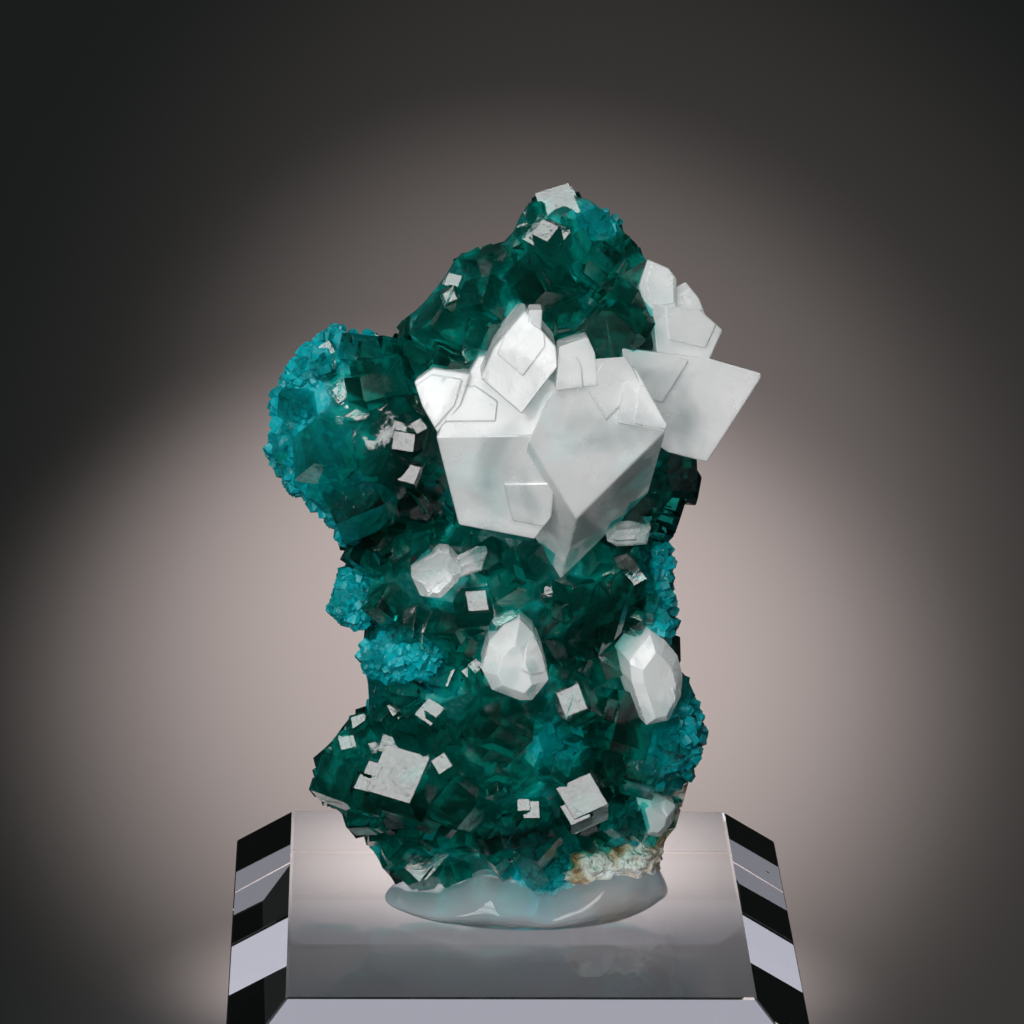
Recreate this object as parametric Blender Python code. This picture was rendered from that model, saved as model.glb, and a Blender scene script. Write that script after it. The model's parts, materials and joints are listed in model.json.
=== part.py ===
"""Dioptase with calcite, fixed upright on a bevelled clear block.

Places on the specimen are read from one eye, in front of it and a little above. A place is written
(across, up): millimetres on the upright plane through the middle of the block, where the line of sight
to it crosses that plane. How far it lies in front of the plane is given beside it or found on the body.
"""

import math
import random
from dataclasses import dataclass

import bmesh
import bpy
from mathutils import Matrix, Vector, noise
from mathutils.bvhtree import BVHTree

MM = 0.001

# Clear block, two inches square and three quarters of an inch thick
BLOCK_SIDE = 50.8 * MM
BLOCK_HEIGHT = 19.05 * MM
BLOCK_BEVEL = 5.35 * MM

# The eye that the places are read from, and the clearance between touching solids
EYE = Vector((-14.5, -399.0, 200.5)) * MM
GAP = 0.3 * MM
GEL_GAP = 0.5 * MM

# Edges shorter than this carry no shape
SHORT_EDGE = 0.4 * MM
GEL_SHORT_EDGE = 0.1 * MM
NARROW_NECK = 0.02 * MM

# Dioptase: a six-sided prism with three rhomb faces at each end
RHOMB_TILT = math.radians(51.0)
LIT_FACING = Vector((-0.08, 0.62, 0.78)).normalized()

# Body of the specimen, as lumps: (across, up, towards), (half width, half depth, half height)
BODY_LUMPS = (
    ((-14.6, 62.6, 0.0), (7.0, 8.0, 8.6)),
    ((-15.5, 68.0, -1.5), (4.6, 5.5, 4.6)),
    ((-1.5, 73.0, -1.0), (9.0, 7.5, 6.2)),
    ((3.2, 79.2, -1.0), (5.6, 5.2, 5.0)),
    ((7.0, 75.0, -1.0), (4.2, 6.0, 5.4)),
    ((1.0, 62.5, -0.5), (13.0, 9.0, 9.5)),
    ((-1.0, 50.5, 0.0), (13.2, 8.0, 8.5)),
    ((-1.5, 41.0, 0.0), (12.2, 8.0, 7.0)),
    ((-2.0, 34.0, 0.0), (12.6, 8.6, 7.6)),
    ((10.6, 35.5, -1.0), (5.0, 6.4, 6.6)),
    ((8.6, 29.2, -1.4), (4.6, 4.6, 5.0)),
    ((-13.0, 31.0, 1.0), (4.4, 5.0, 4.6)),
    ((-1.6, 25.6, -1.4), (11.4, 4.8, 5.6)),
)

# Turquoise crust, the same again but rougher
CRUST_LUMPS = (
    ((-18.4, 62.8, 0.6), (3.5, 5.4, 5.4)),
    ((-17.4, 68.6, 0.0), (3.1, 4.6, 3.3)),
    ((-16.8, 57.6, 0.6), (2.6, 4.4, 3.6)),
    ((-14.6, 47.9, 1.6), (1.9, 3.2, 2.1)),
    ((-10.3, 42.4, 6.6), (3.3, 1.9, 1.8)),
    ((12.0, 48.4, 0.6), (1.6, 4.6, 4.4)),
    ((13.6, 35.0, 0.4), (2.7, 4.4, 3.6)),
    ((2.4, 21.8, 1.0), (2.8, 2.4, 2.6)),
)

# Matrix: the same again, for the pale rock at the lower right and on the back
MATRIX_LUMPS = (
    ((12.6, 31.0, -1.6), (3.0, 3.4, 3.0)),
    ((11.2, 26.6, -1.6), (3.4, 3.2, 3.2)),
    ((9.6, 23.6, 0.2), (3.6, 3.0, 2.2)),
    ((6.6, 22.6, 1.8), (2.6, 2.4, 1.9)),
    ((6.0, 29.0, -6.0), (8.0, 3.6, 7.0)),
    ((3.0, 40.0, -6.6), (7.0, 3.0, 7.6)),
)

# A rough lump with a longer half width than this, in millimetres, is made with finer triangles
FINE_LUMP = 5.0

# How far a crystal may show outside OUTLINE
OUTLINE_SLACK = 0.2 * MM

# How far the specimen reaches, seen from the eye, as places in turn around it from the crown
OUTLINE = (
    (2.4, 86.4), (4.7, 84.6), (7.0, 82.8), (8.2, 81.9), (9.0, 80.6), (10.0, 79.7), (10.8, 77.3), (12.2, 78.3),
    (13.7, 77.0), (15.4, 74.5), (17.3, 72.9), (15.9, 69.8), (20.4, 68.6), (18.9, 65.3), (16.4, 60.8),
    (17.0, 58.4), (14.0, 55.6), (13.1, 53.2), (12.7, 49.2), (13.2, 47.0), (14.3, 43.8), (15.1, 40.4),
    (16.5, 35.9), (15.8, 33.3), (15.0, 29.5), (14.2, 26.2), (13.1, 24.7), (13.5, 20.4), (8.0, 20.5),
    (2.0, 19.6), (-2.7, 21.0), (-6.3, 19.3), (-11.2, 20.5), (-12.4, 23.6), (-15.0, 26.0), (-15.0, 27.6),
    (-18.2, 28.4), (-18.4, 32.4), (-16.5, 34.2), (-14.3, 37.4), (-13.2, 36.7), (-13.1, 39.5), (-13.9, 42.9),
    (-13.3, 44.2), (-16.2, 46.8), (-15.2, 50.0), (-15.7, 52.3), (-15.2, 53.8), (-17.4, 56.1), (-20.2, 58.5),
    (-22.0, 61.6), (-21.0, 63.4), (-21.4, 66.0), (-20.0, 68.5), (-18.2, 71.0), (-15.8, 72.6), (-14.3, 71.6),
    (-11.5, 72.6), (-9.1, 74.3), (-6.9, 77.1), (-6.1, 78.6), (-4.8, 80.1), (-1.6, 80.1), (-0.4, 82.9), (0.8, 84.8),
)

# Large dioptase crystals: across, up, width, length, tip (right, up, towards), turn in degrees, proud
LARGE_CRYSTALS = (
    # Crown
    (-3.7, 78.5, 4.6, 6.0, (-0.35, 0.50, 0.60), 10, 0.8),
    (6.2, 78.3, 3.6, 5.2, (0.15, 0.95, 0.25), 0, 1.4),
    (9.0, 78.2, 4.0, 5.4, (0.75, 0.45, 0.40), 20, 0.6),
    (8.0, 73.4, 6.4, 8.0, (0.55, -0.20, 0.75), 5, 1.6),
    (1.4, 76.6, 5.4, 7.4, (0.20, 0.30, 0.90), 25, 1.6),
    (-7.2, 73.6, 5.8, 7.4, (-0.50, 0.25, 0.80), 15, 0.6),
    (-3.4, 75.2, 4.2, 5.4, (-0.15, 0.20, 0.95), 40, 1.4),
    (-3.6, 72.0, 3.2, 4.4, (0.10, -0.30, 0.90), 0, 1.4),
    (-6.3, 69.5, 4.0, 4.8, (-0.20, -0.45, 0.85), 30, 1.4),
    (3.4, 73.5, 3.6, 4.8, (-0.25, -0.10, 0.95), 12, 1.4),
    (5.9, 82.0, 3.0, 4.2, (0.50, 0.70, 0.40), 0, 0.4),
    (8.2, 80.3, 2.8, 3.8, (0.70, 0.60, 0.30), 15, 0.2),
    (-0.2, 81.0, 2.6, 3.6, (-0.60, 0.60, 0.40), 5, 0.4),
    (0.4, 78.9, 3.0, 3.8, (-0.10, 0.60, 0.80), 33, 1.0),
    (10.6, 71.8, 3.0, 4.6, (0.65, -0.50, 0.45), 0, 0.2),
    # Left lobe: crystals grown side by side, all turned the same way, and the ledge above them
    (-12.4, 61.6, 9.6, 12.6, (-0.25, -0.18, 0.95), 38, 0.4),
    (-14.6, 63.6, 6.6, 8.4, (-0.25, -0.18, 0.95), 38, 1.2),
    (-9.4, 62.8, 5.6, 7.6, (-0.25, -0.18, 0.95), 38, 1.4),
    (-12.0, 65.4, 5.4, 7.0, (-0.25, -0.18, 0.95), 38, 0.8),
    (-11.2, 58.6, 6.4, 8.4, (-0.25, -0.18, 0.95), 38, 1.6),
    (-15.2, 59.0, 5.0, 6.6, (-0.25, -0.18, 0.95), 38, 1.0),
    (-8.2, 58.8, 4.8, 6.4, (-0.25, -0.18, 0.95), 38, 1.4),
    (-12.6, 68.0, 4.6, 6.4, (-0.15, 0.75, 0.60), 28, 0.6),
    (-14.2, 70.4, 3.6, 4.8, (-0.25, 0.85, 0.40), 0, 0.8),
    (-12.2, 70.7, 3.6, 5.0, (-0.05, 0.90, 0.40), 18, 0.8),
    (-10.2, 69.8, 3.8, 5.2, (0.15, 0.85, 0.50), 5, 1.0),
    (-9.7, 72.2, 3.0, 4.4, (-0.30, 0.90, 0.10), 0, -1.2),
    (-7.8, 55.6, 4.2, 5.6, (0.15, -0.40, 0.90), 14, 0.6),
    (-12.4, 54.6, 4.4, 5.8, (-0.20, -0.60, 0.75), 8, 0.4),
    # Waist
    (-13.6, 52.0, 3.4, 4.6, (-0.60, 0.10, 0.75), 0, 0.4),
    (-10.8, 52.2, 3.6, 4.6, (-0.20, -0.15, 0.95), 21, 0.4),
    (-8.0, 52.6, 3.2, 4.4, (0.05, -0.10, 0.95), 7, 0.6),
    (-5.2, 53.0, 3.0, 4.0, (-0.10, 0.20, 0.95), 33, 0.4),
    (-2.4, 51.6, 3.4, 4.6, (0.20, 0.25, 0.90), 12, 0.6),
    (0.8, 51.4, 3.2, 4.4, (-0.15, 0.30, 0.90), 26, 0.6),
    (3.0, 52.6, 2.8, 3.8, (0.15, 0.10, 0.95), 3, 0.4),
    (6.6, 51.4, 3.0, 4.0, (0.10, 0.25, 0.95), 17, 0.4),
    (-14.8, 48.2, 3.9, 4.8, (-0.75, 0.10, 0.60), 8, 0.6),
    (-11.6, 47.4, 3.8, 4.8, (-0.35, 0.20, 0.90), 16, 0.6),
    (-9.0, 45.0, 4.6, 5.8, (-0.15, 0.10, 0.95), 30, 0.8),
    (-6.4, 45.0, 3.8, 5.0, (0.10, 0.05, 0.95), 2, 0.8),
    (-12.2, 44.6, 3.2, 4.2, (-0.55, 0.05, 0.80), 24, 0.4),
    (-0.9, 48.8, 3.6, 5.0, (0.25, 0.35, 0.90), 10, 0.8),
    (-1.6, 46.2, 3.2, 4.2, (-0.20, -0.10, 0.95), 28, 0.6),
    (3.4, 46.0, 3.2, 4.4, (0.10, 0.30, 0.95), 6, 0.6),
    (4.8, 48.0, 3.8, 5.6, (-0.10, 0.60, 0.75), 19, 1.0),
    (6.7, 46.1, 3.4, 8.4, (-0.32, -0.92, 0.22), 0, 2.2),
    (10.8, 49.3, 3.0, 4.0, (0.35, 0.20, 0.90), 11, 0.4),
    (11.8, 52.4, 3.0, 4.0, (0.60, 0.25, 0.75), 29, 0.4),
    (9.8, 46.6, 3.8, 5.0, (0.30, 0.05, 0.95), 4, 0.6),
    (10.3, 43.8, 3.4, 4.4, (0.35, -0.10, 0.90), 23, 0.4),
    (12.2, 47.6, 2.6, 3.6, (0.75, 0.10, 0.60), 15, 0.2),
    (4.0, 43.6, 3.8, 5.2, (-0.30, 0.40, 0.85), 9, 0.8),
    (7.4, 41.6, 3.6, 4.6, (0.10, -0.20, 0.95), 27, 0.6),
    (4.4, 41.2, 3.0, 4.0, (-0.05, -0.20, 0.95), 14, 0.4),
    (-5.0, 42.4, 3.2, 4.2, (-0.05, 0.10, 0.95), 38, 0.6),
    (-12.6, 42.9, 2.8, 3.6, (-0.60, 0.20, 0.75), 0, 0.6),
    (-10.6, 41.8, 3.2, 4.2, (-0.35, 0.15, 0.90), 20, 0.8),
    (-8.4, 41.0, 3.4, 4.4, (-0.15, 0.10, 0.95), 5, 0.8),
    (-6.4, 40.2, 2.8, 3.6, (0.05, 0.00, 0.95), 31, 0.6),
    (-12.2, 39.6, 3.2, 4.2, (-0.60, -0.20, 0.75), 12, 0.4),
    (-9.8, 38.8, 3.4, 4.4, (-0.30, -0.25, 0.90), 25, 0.4),
    # Right shoulder, under the calcite
    (13.4, 60.2, 4.0, 5.4, (0.60, 0.20, 0.75), 8, 1.0),
    (12.4, 56.4, 3.8, 5.2, (0.50, -0.05, 0.85), 17, 0.8),
    (10.2, 56.0, 3.4, 4.6, (0.25, -0.10, 0.95), 2, 0.8),
    (12.9, 54.2, 2.8, 3.8, (0.70, -0.20, 0.65), 26, 0.4),
    # Lower body
    (-2.0, 36.1, 5.4, 8.2, (0.80, -0.15, 0.60), 6, 1.0),
    (8.6, 36.2, 6.6, 8.6, (0.12, 0.90, 0.42), 22, 1.4),
    (7.4, 31.8, 4.8, 6.2, (0.10, -0.15, 0.95), 12, 1.2),
    (10.8, 31.4, 4.2, 5.4, (0.45, -0.10, 0.85), 30, 0.6),
    (3.6, 34.4, 3.4, 4.6, (0.15, 0.30, 0.90), 4, 0.8),
    (3.2, 31.8, 3.2, 4.2, (-0.15, 0.10, 0.95), 21, 0.6),
    (-11.0, 36.2, 3.8, 5.0, (-0.35, 0.35, 0.85), 15, 0.6),
    (-8.8, 35.0, 4.0, 5.2, (-0.10, 0.35, 0.90), 34, 0.8),
    (-6.3, 34.6, 3.6, 4.8, (0.15, 0.30, 0.95), 9, 0.8),
    (-14.8, 34.8, 4.2, 5.6, (-0.60, 0.45, 0.65), 2, 0.8),
    (-16.2, 30.5, 5.2, 7.4, (-0.88, -0.05, 0.45), 18, 0.8),
    (-14.0, 26.6, 3.2, 4.4, (-0.75, -0.25, 0.55), 24, 0.4),
    (-12.2, 25.6, 3.2, 4.2, (-0.50, -0.20, 0.80), 7, 0.4),
    (-4.6, 29.4, 4.6, 7.8, (-0.20, -0.50, 0.80), 13, 0.8),
    (-6.6, 31.8, 3.4, 4.4, (-0.15, 0.20, 0.95), 28, 0.6),
    (-2.0, 31.8, 3.8, 5.0, (0.10, 0.20, 0.95), 3, 0.8),
    (-8.4, 25.7, 4.0, 5.2, (-0.10, 0.10, 0.95), 19, 0.6),
    (-10.9, 27.6, 3.2, 4.2, (-0.40, 0.10, 0.90), 35, 0.2),
    (-4.7, 25.3, 3.8, 4.8, (0.05, 0.05, 0.95), 10, 0.6),
    (0.8, 26.8, 4.6, 6.6, (0.10, -0.30, 0.95), 26, 1.0),
    (-1.6, 23.6, 3.2, 4.2, (-0.10, -0.20, 0.95), 5, 0.4),
    (2.3, 21.9, 4.8, 5.8, (0.15, -0.15, 0.95), 16, 0.6),
    (6.8, 25.6, 3.6, 4.8, (0.20, -0.20, 0.95), 31, 0.6),
    (4.0, 24.7, 3.2, 4.2, (0.10, -0.10, 0.95), 0, 0.4),
    (8.9, 27.0, 3.2, 4.4, (0.30, 0.20, 0.90), 22, 0.8),
    (10.8, 26.8, 2.9, 4.6, (0.25, 0.92, 0.30), 0, 2.0),
    # Turquoise crystals at the right edge
    (13.4, 33.8, 3.4, 4.4, (0.65, 0.00, 0.75), 6, 0.4),
    (15.0, 35.4, 2.8, 3.6, (0.90, 0.10, 0.40), 20, 0.2),
    (12.9, 36.8, 3.0, 3.8, (0.60, 0.30, 0.70), 12, 0.2),
)

# Crystals whose end face catches the light: across, up, width, length, way to the tip on the face, proud
LIT_CRYSTALS = (
    (2.8, 84.4, 4.6, 6.0, 112, 1.6),
    (1.7, 81.0, 4.4, 5.8, 75, 2.6),
    (-6.5, 75.5, 2.2, 3.6, 20, 0.7),
    (-6.2, 76.9, 1.8, 3.0, 60, 0.5),
    (-4.7, 70.5, 2.8, 4.2, 200, 1.0),
    (-14.3, 64.8, 2.4, 3.8, 80, 0.3),
    (-15.8, 66.9, 2.4, 3.8, 5, 0.8),
    (-10.3, 62.4, 2.6, 4.2, 320, 0.3),
    (-9.8, 59.4, 2.4, 4.0, 240, 0.3),
    (-9.0, 63.8, 1.6, 2.8, 100, 0.3),
    (15.0, 57.9, 3.4, 4.8, 50, 1.0),
    (8.7, 50.3, 4.8, 6.4, 100, 1.4),
    (-3.8, 47.7, 3.8, 5.4, 125, 1.6),
    (2.5, 48.7, 2.0, 3.4, 40, 0.8),
    (10.6, 52.0, 1.7, 2.8, 70, 0.8),
    (-4.1, 41.0, 2.0, 3.4, 90, 0.8),
    (4.7, 38.4, 4.4, 6.0, 20, 1.8),
    (-7.7, 37.2, 2.8, 4.2, 80, 1.4),
    (-10.8, 37.6, 1.8, 3.0, 10, 0.8),
    (-14.0, 36.2, 2.4, 3.8, 30, 0.8),
    (-15.1, 34.6, 2.6, 4.2, 120, 0.8),
    (-10.4, 31.4, 6.2, 9.0, 62, 3.2),
    (-13.5, 30.4, 3.0, 5.2, 62, 2.6),
    (-6.6, 32.3, 2.2, 3.4, 10, 1.2),
    (-8.2, 22.9, 5.0, 6.8, 175, 2.0),
    (1.3, 27.9, 2.2, 3.6, 130, 0.8),
    (5.8, 29.2, 5.0, 7.0, 285, 2.4),
)

# Small crystals that fill the body between the large ones
SEED = 11
FILL_COUNT = 56
FILL_WIDTH = (3.4, 6.2)

# Calcite. Each solid: corners of its near face (across, up), how far towards the eye the first of them
# lies, the way the face looks (right, up, towards), how far the solid goes back and which way, edge bevel
CALCITE_GROUP = (
    (
        ((-7.45, 62.8), (-6.2, 57.8), (-5.4, 54.7), (1.2, 53.4), (2.6, 55.4), (3.2, 63.0)),
        11.6, (-0.12, 0.02, 1.0), 8.0, (0.05, 0.1, -1.0), 0.0,
    ),
    (
        ((-7.45, 62.6), (3.2, 62.7), (3.6, 67.0), (-1.0, 70.4), (-3.9, 70.1), (-6.4, 65.3)),
        11.6, (-0.12, 0.42, 0.90), 8.0, (0.05, -0.1, -1.0), 0.0,
    ),
    (
        ((12.4, 63.5), (10.8, 67.0), (8.7, 70.2), (6.2, 70.0), (3.8, 68.6), (1.9, 65.9), (0.5, 62.4), (4.8, 55.3)),
        13.0, (0.03, 0.16, 0.98), 10.7, (-0.085, -0.75, -0.655), 0.0,
    ),
    (
        ((-0.1, 64.9), (2.9, 69.2), (2.7, 71.0), (0.0, 74.2), (-2.6, 70.9), (-3.7, 68.1)),
        14.6, (-0.05, 0.34, 0.92), 5.6, (0.0, -0.1, -1.0), 0.0,
    ),
    (
        ((0.1, 72.6), (0.4, 74.3), (1.5, 74.3), (1.4, 71.6)),
        12.4, (0.1, 0.2, 0.95), 2.4, (0.0, -0.1, -1.0), 0.0,
    ),
    (
        ((3.0, 71.0), (5.4, 71.9), (6.1, 70.4), (6.4, 67.5), (2.8, 67.0)),
        12.2, (0.05, 0.30, 0.94), 5.0, (0.0, -0.2, -1.0), 0.0,
    ),
    (
        ((8.2, 64.1), (12.3, 63.3), (12.5, 64.0), (9.6, 69.1), (8.8, 69.2)),
        14.6, (0.10, 0.50, 0.85), 3.4, (0.0, -0.25, -1.0), 0.0,
    ),
    (
        ((9.0, 64.0), (12.6, 61.5), (16.0, 60.6), (20.4, 68.3), (20.4, 68.7), (16.0, 70.0), (8.4, 70.9)),
        8.6, (0.10, 0.04, 1.0), 2.4, (0.05, -0.28, -1.0), 0.0,
    ),
    (
        ((10.9, 74.9), (11.4, 70.6), (15.8, 69.6), (17.0, 72.6), (15.0, 74.4)),
        7.4, (0.26, 0.10, 0.95), 5.0, (-0.05, -0.34, -1.0), 0.0,
    ),
    (
        ((12.2, 76.0), (13.2, 73.6), (15.6, 73.6), (14.9, 75.4), (13.7, 76.9)),
        5.4, (0.25, 0.15, 0.95), 4.0, (0.0, -0.36, -1.0), 0.0,
    ),
    (
        ((9.7, 76.4), (10.6, 73.6), (13.0, 74.0), (12.9, 77.2), (12.2, 78.1), (10.4, 78.9)),
        6.4, (0.10, 0.25, 0.95), 4.6, (0.0, -0.36, -1.0), 0.0,
    ),
    (
        ((-9.4, 67.8), (-8.7, 65.6), (-7.4, 63.2), (-5.4, 65.6), (-4.6, 68.5), (-7.8, 69.0)),
        9.4, (-0.30, 0.30, 0.90), 3.2, (0.1, -0.2, -1.0), 0.0,
    ),
)
CALCITE_MIDDLE = (
    (
        (
            (0.1, 45.3), (-1.3, 44.8), (-2.6, 43.2), (-3.2, 40.7), (-2.3, 38.8),
            (0.2, 37.8), (1.3, 37.8), (2.7, 39.7), (2.1, 42.0), (1.3, 44.0),
        ),
        12.0, (0.05, 0.15, 0.98), 5.0, (0.0, 0.0, -1.0), 1.3,
    ),
)
CALCITE_RIGHT = (
    (
        (
            (12.0, 44.4), (10.1, 41.6), (10.3, 39.7), (11.7, 35.6), (13.8, 36.1),
            (14.8, 38.4), (14.9, 40.2), (14.4, 42.1), (13.3, 43.5),
        ),
        8.0, (0.45, 0.15, 0.90), 5.0, (-0.3, 0.0, -1.0), 1.0,
    ),
)
CALCITE_PALE = (
    (
        (
            (-9.5, 49.6), (-8.7, 47.8), (-6.9, 47.6), (-5.4, 49.2), (-5.1, 50.3),
            (-6.2, 51.6), (-7.0, 51.7), (-8.4, 50.7),
        ),
        10.6, (-0.15, 0.20, 0.97), 3.4, (0.0, 0.0, -1.0), 0.8,
    ),
    (
        ((-5.9, 50.9), (-5.6, 49.6), (-3.4, 50.4), (-2.9, 52.0), (-3.8, 52.0)),
        9.9, (0.10, 0.25, 0.96), 2.0, (0.0, 0.0, -1.0), 0.3,
    ),
)
CALCITE_LEDGE = (
    (
        ((7.5, 53.2), (8.4, 52.7), (11.0, 52.9), (11.3, 54.4), (8.3, 54.1)),
        9.8, (0.10, 0.30, 0.95), 2.6, (0.0, 0.0, -1.0), 0.3,
    ),
)
CALCITE_FOOT = (
    (
        ((10.8, 28.6), (11.7, 25.2), (13.0, 24.9), (14.1, 26.2), (14.3, 27.8), (12.3, 29.3)),
        5.4, (0.35, 0.25, 0.90), 4.2, (-0.1, 0.0, -1.0), 0.8,
    ),
)

# Gel bead under the foot: half length, half depth and middle, and its crest as (across, height)
GEL_HALF_LENGTH = 12.4 * MM
GEL_HALF_DEPTH = 6.5 * MM
GEL_MIDDLE = Vector((1.0, -0.9)) * MM
GEL_CREST = (
    (-12.0, 1.8), (-9.8, 2.7), (-6.6, 2.6), (-5.0, 3.5), (-2.8, 4.7), (0.0, 3.6),
    (3.0, 2.6), (5.0, 3.5), (8.0, 5.8), (10.4, 6.8), (12.4, 6.0), (14.0, 3.8),
)
GEL_FLATTENING = -0.55

# Crystals with their middle below this may reach the gel
FOOT_LEVEL = BLOCK_HEIGHT + 13 * MM


def clear_scene():
    """Removes everything that the file holds."""
    for obj in list(bpy.data.objects):
        bpy.data.objects.remove(obj)


def new_collection(name):
    """A collection for the nodes."""
    made = bpy.data.collections.new(name)
    bpy.context.scene.collection.children.link(made)
    return made


def new_material(name, colour, roughness):
    """A plain finish in the colour of the real surface."""
    material = bpy.data.materials.new(name)
    material.use_nodes = True
    shader = material.node_tree.nodes["Principled BSDF"]
    shader.inputs["Base Color"].default_value = (*colour, 1.0)
    shader.inputs["Roughness"].default_value = roughness
    shader.inputs["Metallic"].default_value = 0.0
    return material


def new_object(name, bm, collection, material):
    """An object from a bmesh, which it frees."""
    mesh = bpy.data.meshes.new(name)
    bm.normal_update()
    bm.to_mesh(mesh)
    bm.free()
    obj = bpy.data.objects.new(name, mesh)
    mesh.materials.append(material)
    collection.objects.link(obj)
    return obj


def on_plane(across, up):
    """The point of the upright plane that a place is read on."""
    return Vector((across, 0.0, up)) * MM


def seen(across, up, towards):
    """The point on the line of sight through a place, so many millimetres in front of the plane."""
    point = on_plane(across, up)
    share = towards * MM / -EYE.y
    return point.lerp(EYE, share)


def sight(point):
    """The direction from a point to the eye."""
    return (EYE - point).normalized()


def pointing(right, up, towards):
    """A direction written as right, up and towards the viewer."""
    return Vector((right, -towards, up)).normalized()


def turned(tip, turn):
    """The rotation that stands a crystal's long axis along tip, then turns it about that axis.

    At no turn, one prism face looks as straight at the viewer as the axis lets it.
    """
    facing = Vector((0.0, -1.0, 0.0))
    facing = facing - tip * facing.dot(tip)
    if facing.length < 1e-3:
        facing = Vector((1.0, 0.0, 0.0)) - tip * tip.x
    facing.normalize()
    side = tip.cross(facing)
    stand = Matrix((facing, side, tip)).transposed()
    return stand @ Matrix.Rotation(math.radians(turn), 3, "Z")


def cleave(planes, centre, reach):
    """A convex solid: a cube that reaches past every face, cut back by each plane in turn."""
    solid = bmesh.new()
    bmesh.ops.create_cube(solid, size=2 * reach, matrix=Matrix.Translation(centre))
    for point, normal in planes:
        everything = solid.verts[:] + solid.edges[:] + solid.faces[:]
        cut = bmesh.ops.bisect_plane(
            solid, geom=everything, dist=1e-7, plane_co=point, plane_no=normal, clear_outer=True
        )
        rim = [part for part in cut["geom_cut"] if isinstance(part, bmesh.types.BMEdge)]
        if rim:
            bmesh.ops.contextual_create(solid, geom=rim)
    bmesh.ops.recalc_face_normals(solid, faces=solid.faces[:])
    return solid


@dataclass
class Crystal:
    """One dioptase crystal: where its middle is, how it is turned, its size, and how uneven its faces are."""

    centre: Vector
    rotation: Matrix
    width: float
    length: float
    prism_shares: tuple
    end_shares: tuple

    def solid(self, grow=0.0):
        """The crystal cut from a cube, every face moved out by grow."""
        planes = []
        for k, share in enumerate(self.prism_shares):
            angle = math.radians(60 * k)
            normal = self.rotation @ Vector((math.cos(angle), math.sin(angle), 0.0))
            planes.append((self.centre + normal * (self.width / 2 * share + grow), normal))
        for k, share in enumerate(self.end_shares):
            end, offset = (1, 30) if k < 3 else (-1, 90)
            angle = math.radians(120 * k + offset)
            across = Vector((math.cos(angle), math.sin(angle), 0.0)) * math.sin(RHOMB_TILT)
            normal = self.rotation @ (across + Vector((0.0, 0.0, end * math.cos(RHOMB_TILT))))
            reach = self.length / 2 * math.cos(RHOMB_TILT) * share
            planes.append((self.centre + normal * (reach + grow), normal))
        return cleave(planes, self.centre, 1.5 * max(self.width, self.length) + grow)

    def draw_inside(self):
        """Moves the crystal sideways until none of it shows outside OUTLINE."""
        for _ in range(4):
            solid = self.solid()
            shifts = [outside_by(vert.co) for vert in solid.verts]
            solid.free()
            shift = max(shifts, key=lambda candidate: candidate.length)
            if shift.length < OUTLINE_SLACK:
                break
            self.centre = self.centre + shift
        return self


def new_crystal(centre, rotation, width, length, chance):
    """A crystal whose faces are set a little in or out, as chance has it."""
    prism_shares = tuple(chance.uniform(0.90, 1.06) for _ in range(6))
    end_shares = tuple(chance.uniform(0.95, 1.0) for _ in range(6))
    return Crystal(centre, rotation, width, length, prism_shares, end_shares).draw_inside()


def outline_place(point):
    """The place (across, up) that a point is seen at, in metres on the upright plane."""
    share = -EYE.y / (point.y - EYE.y)
    crossing = EYE + (point - EYE) * share
    return Vector((crossing.x, crossing.z))


def nearest_outline(place):
    """(whether a place is inside OUTLINE, the nearest place on it)."""
    corners = [Vector(corner) * MM for corner in OUTLINE]
    within = False
    best = corners[0]
    for here, there in zip(corners, corners[1:] + corners[:1]):
        if (here.y > place.y) != (there.y > place.y):
            at = here.x + (there.x - here.x) * (place.y - here.y) / (there.y - here.y)
            within = within != (place.x < at)
        run = there - here
        share = min(1.0, max(0.0, (place - here).dot(run) / run.length_squared))
        nearest = here + run * share
        if (nearest - place).length < (best - place).length:
            best = nearest
    return within, best


def outside_by(point):
    """The sideways move that brings a point in to OUTLINE, or no move if it is inside."""
    place = outline_place(point)
    within, nearest = nearest_outline(place)
    if within:
        return Vector()
    move = nearest - place
    return Vector((move.x, 0.0, move.y))


def lump_solid(place, radii, grow, rough):
    """A lump: a ball of triangles, stretched, its surface pushed in and out, finer if it is large and rough."""
    across, up, towards = place
    centre = seen(across, up, towards)
    lump = bmesh.new()
    fineness = 3 if rough and max(radii) > FINE_LUMP else 2
    bmesh.ops.create_icosphere(lump, subdivisions=fineness, radius=1.0)
    half_width, half_depth, half_height = radii
    height, pitch = (0.24, 3.2) if rough else (0.10, 2.4)
    for vert in lump.verts:
        way = vert.co.normalized()
        swell = 1.0 + height * noise.noise(way * pitch + Vector((across, up, towards)))
        stretched = Vector((way.x * half_width, way.y * half_depth, way.z * half_height))
        point = centre + stretched * MM * swell
        vert.co = point + outside_by(point) + way * grow
    return lump


def calcite_solid(corners, towards, facing, back, way, bevel, grow):
    """One calcite solid: its near face carried back along one direction, with the edges cut if bevelled."""
    normal = pointing(*facing)
    anchor = seen(*corners[0], towards)
    points = []
    for corner in corners:
        line = (on_plane(*corner) - EYE).normalized()
        points.append(EYE + line * ((anchor - EYE).dot(normal) / line.dot(normal)))
    middle = sum(points, Vector()) / len(points)
    inward = pointing(*way)
    planes = [(middle + normal * grow, normal), (middle + inward * back * MM - normal * grow, -normal)]
    for here, there in zip(points, points[1:] + points[:1]):
        side = (there - here).cross(inward).normalized()
        if side.dot(here - middle) < 0:
            side = -side
        planes.append((here + side * grow, side))
        if bevel:
            slope = (side + normal * 0.9).normalized()
            planes.append((here - side * bevel * MM + slope * grow, slope))
    return cleave(planes, middle, 40 * MM)


def calcite_solids(rows, grow=0.0):
    """The overlapping solids of one calcite, every face moved out by grow."""
    return [calcite_solid(*row, grow) for row in rows]


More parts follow.
